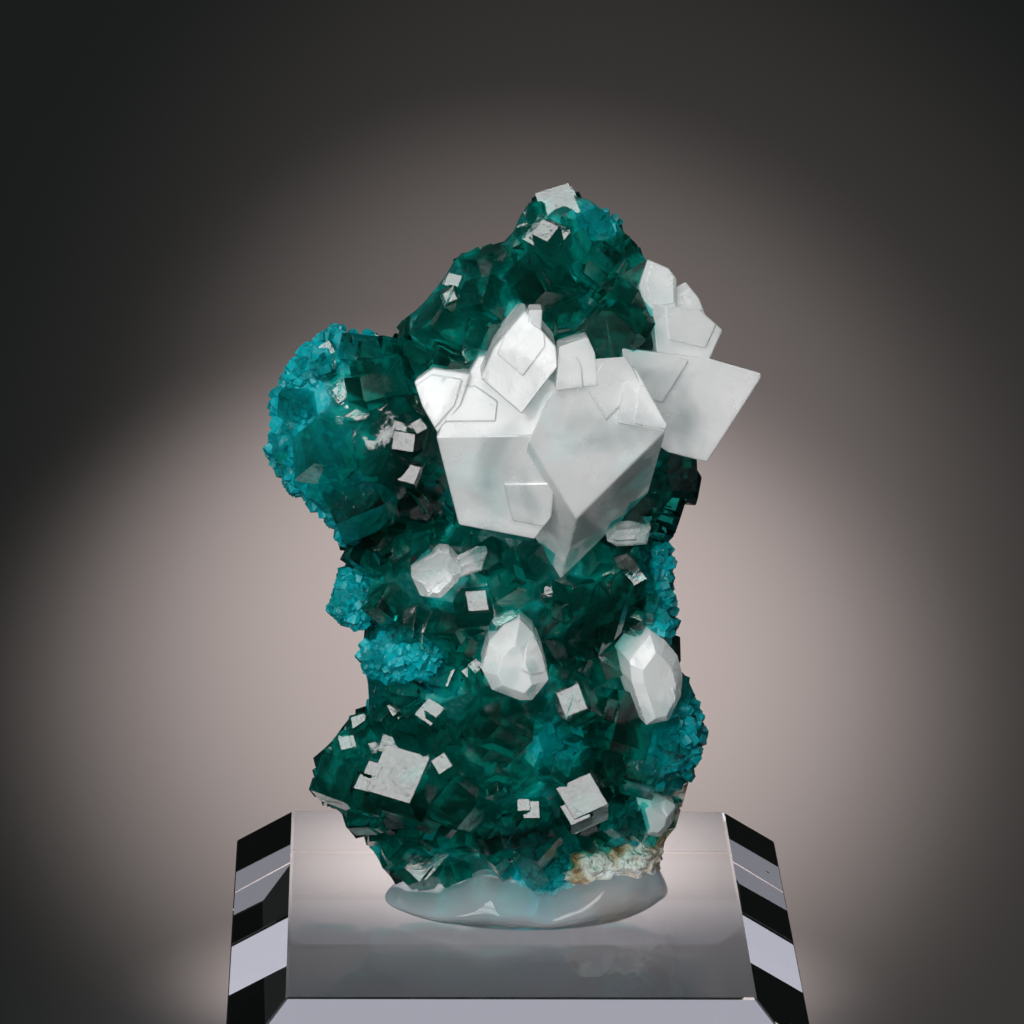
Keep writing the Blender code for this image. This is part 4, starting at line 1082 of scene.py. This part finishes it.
@dataclass
class Crystal:
    """One dioptase crystal: where its middle is, how it is turned, its size and how uneven its faces are."""

    centre: Vector
    rotation: Matrix
    width: float
    length: float
    chance: random.Random
    prism_shares: tuple[float, ...] = field(init=False)
    end_shares: tuple[float, ...] = field(init=False)

    def __post_init__(self) -> None:
        """Sets each face a little in or out, and keeps the crystal inside OUTLINE."""
        self.prism_shares = tuple(self.chance.uniform(*PRISM_SHARES) for _ in range(6))
        self.end_shares = tuple(self.chance.uniform(*END_SHARES) for _ in range(6))
        self.draw_inside()

    def planes(self) -> list[tuple[Vector, Vector]]:
        """(point, outward normal) of the six prism faces and the three rhomb faces at each end."""
        found = []
        for k, share in enumerate(self.prism_shares):
            angle = math.radians(60 * k)
            normal = self.rotation @ Vector((math.cos(angle), math.sin(angle), 0.0))
            found.append((self.centre + normal * (self.width / 2 * share), normal))
        for k, share in enumerate(self.end_shares):
            end, offset = (1, 30) if k < 3 else (-1, 90)
            angle = math.radians(120 * k + offset)
            across = Vector((math.cos(angle), math.sin(angle), 0.0)) * math.sin(RHOMB_TILT)
            normal = self.rotation @ (across + Vector((0.0, 0.0, end * math.cos(RHOMB_TILT))))
            found.append((self.centre + normal * (self.length / 2 * math.cos(RHOMB_TILT) * share), normal))
        return found

    def form(self) -> Solid:
        """The crystal with sharp edges."""
        return cleave(self.planes(), self.centre, 1.5 * max(self.width, self.length))

    def draw_inside(self) -> None:
        """Moves the crystal sideways until none of it shows outside OUTLINE."""
        for _ in range(4):
            solid = self.form()
            shift = max((outside_by(vert.co) for vert in solid.verts), key=lambda move: move.length)
            solid.free()
            if shift.length < OVER_OUTLINE:
                break
            self.centre = self.centre + shift

    def solid(self, edge: float, step: float = 0.0) -> Solid:
        """The finished crystal.

        Args:
            edge: Width of the worn edges, or 0 for sharp ones.
            step: How far growth steps rise or sink on its larger faces, or 0 for none.

        Returns:
            The crystal, tinted as turquoise as its place is.
        """
        solid = self.form()
        if step:
            for face in sorted(solid.faces, key=lambda one: one.calc_area())[-STEPPED_FACES:]:
                if self.chance.random() < STEPPED_OFTEN:
                    inset = self.chance.uniform(*STEP_INSET) * self.width
                    rise = self.chance.uniform(-step, step)
                    bmesh.ops.inset_individual(solid, faces=[face], thickness=inset, depth=rise)
        if edge:
            round_edges(solid, edge)
        tint = turquoise_share(self.centre) * PLACE_TINT + self.chance.uniform(*TINT_SPREAD)
        return tinted(solid, min(1.0, max(0.0, tint)), self.chance.uniform(*SHADE_SPREAD))


def grown_beside(parent: Crystal, chance: random.Random) -> Crystal:
    """A smaller crystal grown into a larger one, turned almost the same way.

    Args:
        parent: The larger crystal.
        chance: Where the choices come from.

    Returns:
        The smaller one.
    """
    share = chance.uniform(*BESIDE_SIZE)
    across = Vector((chance.uniform(-1, 1), chance.uniform(-1, 1), 0.0)) * (BESIDE_ASIDE * parent.width)
    along = Vector((0.0, 0.0, chance.uniform(-BESIDE_ALONG, BESIDE_ALONG) * parent.length))
    lean_x, lean_y, _ = [math.radians(chance.uniform(-BESIDE_LEAN, BESIDE_LEAN)) for _ in range(3)]
    rotation = parent.rotation @ Matrix.Rotation(lean_x, 3, "X") @ Matrix.Rotation(lean_y, 3, "Y")
    centre = parent.centre + parent.rotation @ (across + along)
    length = parent.length * share * BESIDE_SLIMMER
    return Crystal(centre, rotation, parent.width * share, length, chance)


def stood(tip: Vector, turn: float) -> Matrix:
    """The rotation that stands a crystal's long axis along tip, then turns it by so many degrees.

    Args:
        tip: The way the crystal points.
        turn: At 0, one prism face looks as straight at the viewer as the axis lets it.

    Returns:
        The rotation.
    """
    facing = Vector((0.0, -1.0, 0.0))
    facing = facing - tip * facing.dot(tip)
    if facing.length < 1e-3:
        facing = Vector((1.0, 0.0, 0.0)) - tip * tip.x
    facing.normalize()
    stand = Matrix((facing, tip.cross(facing), tip)).transposed()
    return stand @ Matrix.Rotation(math.radians(turn), 3, "Z")


def sprouting(normal: Vector, lean: float, chance: random.Random) -> Matrix:
    """The rotation of a crystal that grows out of a surface.

    Args:
        normal: The surface's normal.
        lean: How far the crystal may lean from it, as a share of its own length.
        chance: Where the choices come from.

    Returns:
        The rotation.
    """
    outward = (normal + Vector([chance.uniform(-lean, lean) for _ in range(3)])).normalized()
    return stood(outward, chance.uniform(0, 60))


def lit_pose(face: Vector, width: float, length: float, way: float) -> tuple[Vector, Matrix]:
    """Puts one end face of a crystal at a place, facing the light.

    Args:
        face: Where the face goes.
        width: The crystal's width.
        length: Its length.
        way: Which way round on the face its tip lies, in radians.

    Returns:
        The crystal's middle and its rotation.
    """
    normal = pointing(LIT_FACING)
    right = Vector((0.0, 0.0, 1.0)).cross(-normal).normalized()
    upward = normal.cross(right)
    if upward.z < 0:
        upward = -upward
    slope = right * math.cos(way) + upward * math.sin(way)
    tip = normal * math.cos(RHOMB_TILT) + slope * math.sin(RHOMB_TILT)
    outward = (normal - tip * normal.dot(tip)).normalized()
    stand = Matrix((outward, tip.cross(outward), tip)).transposed()
    centre = face - outward * (width / 2 * FACE_OUT) - tip * (length / 2 - width / 2 * FACE_BELOW)
    return centre, stand @ Matrix.Rotation(math.radians(-30), 3, "Z")


class Scatter(NamedTuple):
    """How many crystals are scattered, their widths in millimetres, and their room as a share of these."""

    count: int
    widths: Span
    room: float


@dataclass
class Dioptase:
    """The dioptase: large crystals, small ones between them, and the crust that they grow on."""

    seed: int = 11
    fill: Scatter = Scatter(60, (3.4, 6.2), 0.42)
    small: Scatter = Scatter(420, (1.2, 3.0), 0.36)
    druse_count: int = 1300
    druse_width: Span = (0.4, 1.2)
    worn_edge: float = 0.05 * MM
    small_worn_edge: float = 0.03 * MM
    growth_step: float = 0.10 * MM
    crystals: list[Crystal] = field(default_factory=list)

    def settle(self, surface: BVHTree, across: float, up: float, proud: float) -> Vector:
        """A point at a place on a surface, moved towards the eye.

        Args:
            surface: The surface that the line of sight meets.
            across: Across, of the place.
            up: Up, of the place.
            proud: How far in front of the surface, in millimetres.

        Returns:
            The point.
        """
        point = on_plane(across, up)
        hit = surface.ray_cast(EYE, (point - EYE).normalized())[0]
        if hit is None:
            hit = seen(across, up, -surface.find_nearest(point)[0].y / MM)
        return hit + (EYE - hit).normalized() * proud * MM

    def grow_large(self, surface: BVHTree, chance: random.Random) -> None:
        """Sets the large crystals on the body."""
        for values in LARGE_CRYSTALS:
            row = LargeCrystal(*values)
            centre = self.settle(surface, row.across, row.up, row.proud)
            rotation = stood(pointing(row.tip), row.turn)
            self.crystals.append(Crystal(centre, rotation, row.width * MM, row.length * MM, chance))

    def grow_lit(self, surface: BVHTree, chance: random.Random) -> None:
        """Sets the crystals whose end face catches the light."""
        for values in LIT_CRYSTALS:
            row = LitCrystal(*values)
            face = self.settle(surface, row.across, row.up, row.proud)
            centre, rotation = lit_pose(face, row.width * MM, row.length * MM, math.radians(row.way))
            self.crystals.append(Crystal(centre, rotation, row.width * MM, row.length * MM, chance))

    def scatter(self, surface: BVHTree, body: Solid, spec: Scatter, chance: random.Random) -> None:
        """Scatters crystals over what is left bare of the body.

        Args:
            surface: The body's surface.
            body: The body.
            spec: How many, how wide and how far apart.
            chance: Where the choices come from.
        """
        faces = [face for face in body.faces if face.calc_center_median().z > LOWEST_CRYSTAL]
        made = 0
        for _ in range(20 * spec.count):
            if made == spec.count:
                break
            face = chance.choice(faces)
            point = face.calc_center_median()
            if surface.ray_cast(point + face.normal * 0.1 * MM, face.normal)[0] is not None:
                continue
            if not nearest_outline(outline_place(point))[0]:
                continue
            width = chance.uniform(*spec.widths) * MM
            if any((point - one.centre).length < spec.room * (width + one.width) for one in self.crystals):
                continue
            rotation = sprouting(face.normal, SCATTER_LEAN, chance)
            length = width * chance.uniform(*SCATTER_STRETCH)
            self.crystals.append(Crystal(point, rotation, width, length, chance))
            made += 1

    def druse(self, crust: Solid, chance: random.Random) -> Solid:
        """Tiny crystals over the turquoise parts of the crust, all copies of one."""
        origin = Crystal(Vector(), Matrix.Identity(3), 1.0, 1.5, random.Random(self.seed))
        origin.centre = Vector()  # It was moved inside OUTLINE when it was made
        grain = tinted(origin.form(), 1.0)
        pattern = bpy.data.meshes.new("grain")
        grain.to_mesh(pattern)
        grain.free()
        whole = bmesh.new()
        faces = [face for face in crust.faces if turquoise_share(face.calc_center_median()) > DRUSE_TINT]
        for face in chance.choices(faces, k=self.druse_count):
            size = chance.uniform(*self.druse_width) * MM
            turned = sprouting(face.normal, DRUSE_LEAN, chance).to_4x4()
            place = Matrix.Translation(face.calc_center_median()) @ turned
            copy = pattern.copy()
            copy.transform(place @ Matrix.Scale(size, 4))
            whole.from_mesh(copy)
            bpy.data.meshes.remove(copy)
        bpy.data.meshes.remove(pattern)
        return whole

    def build(self) -> None:
        """Grows all of it and dresses it."""
        chance = random.Random(self.seed)
        body = gathered(lumps(BODY_LUMPS, Growth.SMOOTH))
        surface = BVHTree.FromBMesh(body)
        self.grow_large(surface, chance)
        crowd = gathered([body.copy(), *melons()] + [crystal.form() for crystal in self.crystals])
        self.grow_lit(BVHTree.FromBMesh(crowd), chance)
        crowd.free()
        placed = list(self.crystals)
        for spec in (self.fill, self.small):
            self.scatter(surface, body, spec, chance)
        body.free()
        beside = [grown_beside(one, chance) for one in placed]
        solids = [crystal.solid(self.worn_edge, self.growth_step) for crystal in placed]
        solids += [crystal.solid(self.small_worn_edge) for crystal in beside]
        solids += [crystal.solid(0.0) for crystal in self.crystals[len(placed):]]
        crystals = combined(solids + melons())
        crust = combined(lumps(BODY_LUMPS, Growth.SMOOTH) + lumps(CRUST_LUMPS, Growth.CRUSTED))
        layer = crust.faces.layers.float.new("tint")
        for face in crust.faces:
            face[layer] = turquoise_share(face.calc_center_median())
        grains = self.druse(crust, chance)
        present("dioptase_crystals", crystals, DIOPTASE, ["dioptase_cluster"])
        present("dioptase_crust", crust, CRUST, ["dioptase_cluster"])
        present("dioptase_druse", grains, CRUST, ["dioptase_cluster"])


class CalciteRow(NamedTuple):
    """One calcite solid, as its row gives it."""

    corners: tuple[Place, ...]
    towards: float
    facing: Way
    back: float
    way: Way
    bevel: float = 0.0


@dataclass
class Calcite:
    """A calcite crystal or group, cut from given faces."""

    name: str
    rows: Sequence[tuple]
    finish: Finish = CALCITE
    edge: float = 0.10 * MM
    step: float = 0.28 * MM
    step_share: Span = (0.35, 0.85)
    bevel_slope: float = 0.9

    def cut(self, row: CalciteRow, step: float = 0.0) -> Solid:
        """One solid: its near face carried back along one direction, the sides closed, the edges worn.

        Args:
            row: The solid's row.
            step: How far its near face is raised, for a cleavage step.

        Returns:
            The solid.
        """
        normal = pointing(row.facing)
        anchor = seen(*row.corners[0], row.towards) + normal * step
        points = [sighted(corner, anchor, normal) for corner in row.corners]
        middle = sum(points, Vector()) / len(points)
        inward = pointing(row.way)
        planes = [(middle, normal), (middle + inward * row.back * MM, -normal)]
        for here, there in zip(points, points[1:] + points[:1]):
            side = (there - here).cross(inward).normalized()
            if side.dot(here - middle) < 0:
                side = -side
            planes.append((here, side))
            if row.bevel:
                slope = (side + normal * self.bevel_slope).normalized()
                planes.append((here - side * row.bevel * MM, slope))
        solid = cleave(planes, middle, 40 * MM)
        round_edges(solid, self.edge)
        return solid

    def stepped(self, row: CalciteRow, chance: random.Random) -> Solid:
        """A cleavage step on a solid's near face, running out to one of its corners."""
        pivot = chance.choice(row.corners)
        share = chance.uniform(*self.step_share)
        moved = tuple(tuple(p + (c - p) * share for p, c in zip(pivot, corner)) for corner in row.corners)
        point = sighted(moved[0], seen(*row.corners[0], row.towards), pointing(row.facing))
        return self.cut(row._replace(corners=moved, towards=-point.y / MM), self.step)

    def build(self) -> None:
        """Joins the solids and dresses them."""
        chance = random.Random(self.name)
        rows = [CalciteRow(*values) for values in self.rows]
        whole = combined([self.cut(row) for row in rows] + [self.stepped(row, chance) for row in rows])
        present(self.name + "_crystal", whole, self.finish, [self.name])


@dataclass
class MatrixRock:
    """The pale and rusty rock at the lower right."""

    growth: Growth = Growth.CRUSTED

    def build(self) -> None:
        """Joins the lumps and dresses them."""
        present("matrix_rock", combined(lumps(MATRIX_LUMPS, self.growth)), ROCK, ["matrix"])


@dataclass
class ClearBlock:
    """The clear block, with its edges just off sharp."""

    edge: float = 0.15 * MM
    bevel: float = 5.35 * MM

    def build(self) -> None:
        """Makes the block from the frame's box."""
        low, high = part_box("acrylic_base")
        size = Vector(high) - Vector(low)
        block = bmesh.new()
        bmesh.ops.create_cube(block, size=1.0)
        bmesh.ops.scale(block, vec=size, verts=block.verts)
        bmesh.ops.translate(block, vec=(Vector(high) + Vector(low)) / 2, verts=block.verts)
        top = [edge for edge in block.edges if all(vert.co.z > size.z / 2 for vert in edge.verts)]
        bmesh.ops.bevel(
            block, geom=top, offset=self.bevel, segments=1, profile=0.5, affect="EDGES", material=-1
        )
        round_edges(block, self.edge)
        present("clear_block", block, ACRYLIC, ["acrylic_base"])


@dataclass
class GelBead:
    """The bead of gel that holds the foot."""

    half_length: float = 12.6 * MM
    half_depth: float = 6.6 * MM
    middle: Span = (1.0 * MM, -0.9 * MM)
    flattening: float = -0.55
    gap: float = 0.02 * MM

    def crest(self, x: float) -> float:
        """Height of the crest above the block at a place along it."""
        across = x / MM
        if across <= GEL_CREST[0][0]:
            return GEL_CREST[0][1] * MM
        for (left, low), (right, high) in zip(GEL_CREST, GEL_CREST[1:]):
            if across <= right:
                share = (across - left) / (right - left)
                return (low + (high - low) * share * share * (3 - 2 * share)) * MM
        return GEL_CREST[-1][1] * MM

    def build(self) -> None:
        """A ball cut flat below and drawn out along the foot, its top following the crest."""
        top = Vector(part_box("acrylic_base")[1]).z
        gel = bmesh.new()
        bmesh.ops.create_uvsphere(gel, u_segments=96, v_segments=48, radius=1.0)
        everything = gel.verts[:] + gel.edges[:] + gel.faces[:]
        cut = bmesh.ops.bisect_plane(
            gel, geom=everything, plane_co=(0, 0, self.flattening), plane_no=(0, 0, -1), clear_outer=True
        )
        rim = [part for part in cut["geom_cut"] if isinstance(part, bmesh.types.BMEdge)]
        bmesh.ops.contextual_create(gel, geom=rim)
        for vert in gel.verts:
            x = self.middle[0] + vert.co.x * self.half_length
            y = self.middle[1] + vert.co.y * self.half_depth
            share = (vert.co.z - self.flattening) / (1.0 - self.flattening)
            vert.co = (x, y, top + self.gap + share * self.crest(x))
        bmesh.ops.recalc_face_normals(gel, faces=gel.faces[:])
        piece = present("gel_bead", gel, GEL, ["mounting_gel"])
        piece.data.shade_smooth()


class LightPool(NamedTuple):
    """A pool of light on the floor: its middle and how far it reaches (across, back), and its power."""

    middle: Span
    reach: Span
    watts: float


class Softbox(NamedTuple):
    """A square softbox: where it stands from the specimen (right, up, towards), its side and its power."""

    name: str
    way: Way
    size: float
    watts: float
    colour: Way = (1.0, 1.0, 1.0)


@dataclass
class Studio:
    """Floor, lights and camera."""

    floor_side: float = 3.0
    floor_drop: float = 0.2 * MM
    target: Way = (0.0, -0.004, 0.050)
    key_size: float = 0.27
    key_watts: float = 1.6
    box_distance: float = 0.60
    lamp_height: float = 0.60
    fill: Softbox = Softbox("front_fill", (-0.35, 0.35, 0.9), 0.40, 2.6)
    panels: tuple[Softbox, ...] = (
        Softbox("left_panel", (-0.59, 0.63, -0.51), 0.34, 0.26, LAVENDER),
        Softbox("right_panel", (0.59, 0.63, -0.51), 0.34, 0.26, LAVENDER),
        Softbox("back_panel", (0.0, 0.79, -0.62), 0.24, 0.08, LAVENDER),
        Softbox("left_front_panel", (-0.58, 0.64, 0.50), 0.34, 0.11, LAVENDER),
        Softbox("right_front_panel", (0.58, 0.64, 0.50), 0.34, 0.11, LAVENDER),
    )
    rims: tuple[Softbox, ...] = (
        Softbox("left_rim", (-0.95, 0.30, -0.1), 0.20, 0.16),
        Softbox("right_rim", (0.95, 0.25, -0.2), 0.20, 0.16),
        Softbox("back_light", (0.1, 0.75, -0.65), 0.22, 0.30),
    )
    pools: tuple[LightPool, ...] = (
        LightPool((0.000, 0.110), (0.056, 0.125), 7.6),
        LightPool((0.013, 0.177), (0.058, 0.185), 2.3),
        LightPool((0.024, 0.170), (0.092, 0.437), 0.7),
        LightPool((0.000, 0.023), (0.030, 0.012), 24.0),
    )
    pool_colour: Way = (1.0, 0.84, 0.80)
    sky_colour: Way = (0.85, 0.95, 0.92)
    sky_strength: float = 0.018
    camera_angles: Way = (19.904, 1.960, 0.939)  # Pitch, yaw and roll, in degrees
    half_frame: float = 512  # Half the photograph's width and the focal length, in its pixels
    focal_length: float = 4897

    def group(self, name: str, pieces: Iterable[bpy.types.Object], state: str) -> bpy.types.Collection:
        """A group of pieces that a light reaches alone, or passes by.

        Args:
            name: The group's name.
            pieces: The pieces.
            state: INCLUDE or EXCLUDE.

        Returns:
            The group.
        """
        made = bpy.data.collections.new(name)
        for piece in pieces:
            made.objects.link(piece)
        for link in made.collection_objects:
            link.light_linking.link_state = state
        return made

    def floor(self) -> bpy.types.Object:
        """A plain pale floor."""
        ground = bmesh.new()
        bmesh.ops.create_grid(ground, x_segments=1, y_segments=1, size=self.floor_side / 2)
        bmesh.ops.translate(ground, vec=(0.0, 0.0, -self.floor_drop), verts=ground.verts)
        floor = plain_object("floor", ground)
        floor.data.materials.append(FLOOR.material())
        bpy.context.scene.collection.objects.link(floor)
        floor.visible_glossy = False
        return floor

    def place(
        self, name: str, lamp: bpy.types.Light, where: Vector, aim: Vector, reaches: bpy.types.Collection
    ) -> bpy.types.Object:
        """Puts a lamp in the scene and points it.

        Args:
            name: Its name.
            lamp: The lamp.
            where: Where it stands.
            aim: What it points at.
            reaches: The group that says what it lights.

        Returns:
            The lamp's object.
        """
        light = bpy.data.objects.new(name, lamp)
        light.location = where
        light.rotation_euler = (where - aim).to_track_quat("Z", "Y").to_euler()
        light.light_linking.receiver_collection = reaches
        light.visible_camera = False
        bpy.context.scene.collection.objects.link(light)
        return light

    def softbox(self, spec: Softbox, reaches: bpy.types.Collection) -> None:
        """Puts up a softbox that lights what its group says."""
        lamp = bpy.data.lights.new(spec.name, "AREA")
        lamp.shape = "SQUARE"
        lamp.size = spec.size
        lamp.energy = spec.watts
        lamp.color = spec.colour
        aim = Vector(self.target)
        self.place(spec.name, lamp, aim + pointing(spec.way) * self.box_distance, aim, reaches)

    def pool(self, spec: LightPool, reaches: bpy.types.Collection) -> None:
        """Throws a soft pool of light on the floor behind the specimen."""
        span = max(spec.reach)
        lamp = bpy.data.lights.new("pool", "SPOT")
        lamp.energy = spec.watts
        lamp.color = self.pool_colour
        lamp.spot_blend = 1.0
        lamp.spot_size = 2 * math.atan(span / self.lamp_height)
        lamp.shadow_soft_size = 0.01
        across, back = spec.middle
        where = Vector((across, back, self.lamp_height))
        light = self.place("pool", lamp, where, Vector((across, back, 0.0)), reaches)
        light.scale = (spec.reach[0] / span, spec.reach[1] / span, 1.0)

    def key(self) -> Softbox:
        """The key, placed so that faces at LIT_FACING mirror it to the eye."""
        view = (EYE - Vector(self.target)).normalized()
        normal = pointing(LIT_FACING)
        way = normal * (2 * normal.dot(view)) - view
        return Softbox("key", (way.x, way.z, -way.y), self.key_size, self.key_watts)

    def lights(self, floor: bpy.types.Object) -> None:
        """Key in front and above, fills that the glassy crystals don't mirror, and light on the floor."""
        glassy = ("dioptase_crystals", "clear_block", "gel_bead")
        crystals, block, gel = (bpy.data.objects[name] for name in glassy)
        floor_only = self.group("lit_by_pool", [floor], "INCLUDE")
        not_block = self.group("passed_by_key", [floor, block], "EXCLUDE")
        matt = self.group("passed_by_fill", [floor, crystals, block], "EXCLUDE")
        clear = self.group("lit_by_panels", [block, gel], "INCLUDE")
        not_clear = self.group("passed_by_rims", [floor, block, gel, crystals], "EXCLUDE")
        self.softbox(self.key(), not_block)
        self.softbox(self.fill, matt)
        for panel in self.panels:
            self.softbox(panel, clear)
        for rim in self.rims:
            self.softbox(rim, not_clear)
        for spec in self.pools:
            self.pool(spec, floor_only)

    def sky(self) -> None:
        """The weak even surrounding."""
        world = bpy.data.worlds.new("surroundings")
        world.use_nodes = True
        background = world.node_tree.nodes["Background"]
        feed(world.node_tree, background, {"Color": (*self.sky_colour, 1.0), "Strength": self.sky_strength})
        bpy.context.scene.world = world

    def camera(self) -> None:
        """The camera, at the eye."""
        pitch, yaw, roll = (math.radians(angle) for angle in self.camera_angles)
        ahead = Vector((math.sin(yaw) * math.cos(pitch), math.cos(yaw) * math.cos(pitch), -math.sin(pitch)))
        level = ahead.cross(Vector((0.0, 0.0, 1.0))).normalized()
        right = level * math.cos(roll) + level.cross(ahead) * math.sin(roll)
        data = bpy.data.cameras.new("camera")
        data.sensor_fit = "HORIZONTAL"
        data.angle = 2 * math.atan(self.half_frame / self.focal_length)
        data.clip_start = 0.01
        camera = bpy.data.objects.new("camera", data)
        axes = Matrix((right, right.cross(ahead), -ahead)).transposed()
        camera.matrix_world = Matrix.Translation(EYE) @ axes.to_4x4()
        bpy.context.scene.collection.objects.link(camera)
        bpy.context.scene.camera = camera

    def build(self) -> None:
        """Sets it all up, around the pieces that are there."""
        self.lights(self.floor())
        self.sky()
        self.camera()
        bpy.context.scene.view_settings.view_transform = "Standard"


def main() -> None:
    """Builds the studio and the specimen's pieces in order."""
    logging.basicConfig(level=logging.INFO, format="%(message)s")
    ClearBlock().build()
    GelBead().build()
    MatrixRock().build()
    Dioptase().build()
    Calcite("calcite_group", CALCITE_GROUP).build()
    Calcite("calcite_middle", CALCITE_MIDDLE).build()
    Calcite("calcite_right", CALCITE_RIGHT).build()
    Calcite("calcite_pale", CALCITE_PALE, CALCITE_CLEAR).build()
    Calcite("calcite_ledge", CALCITE_LEDGE, CALCITE_CLEAR).build()
    Calcite("calcite_foot", CALCITE_FOOT).build()
    Studio().build()


if __name__ == "__main__":
    main()
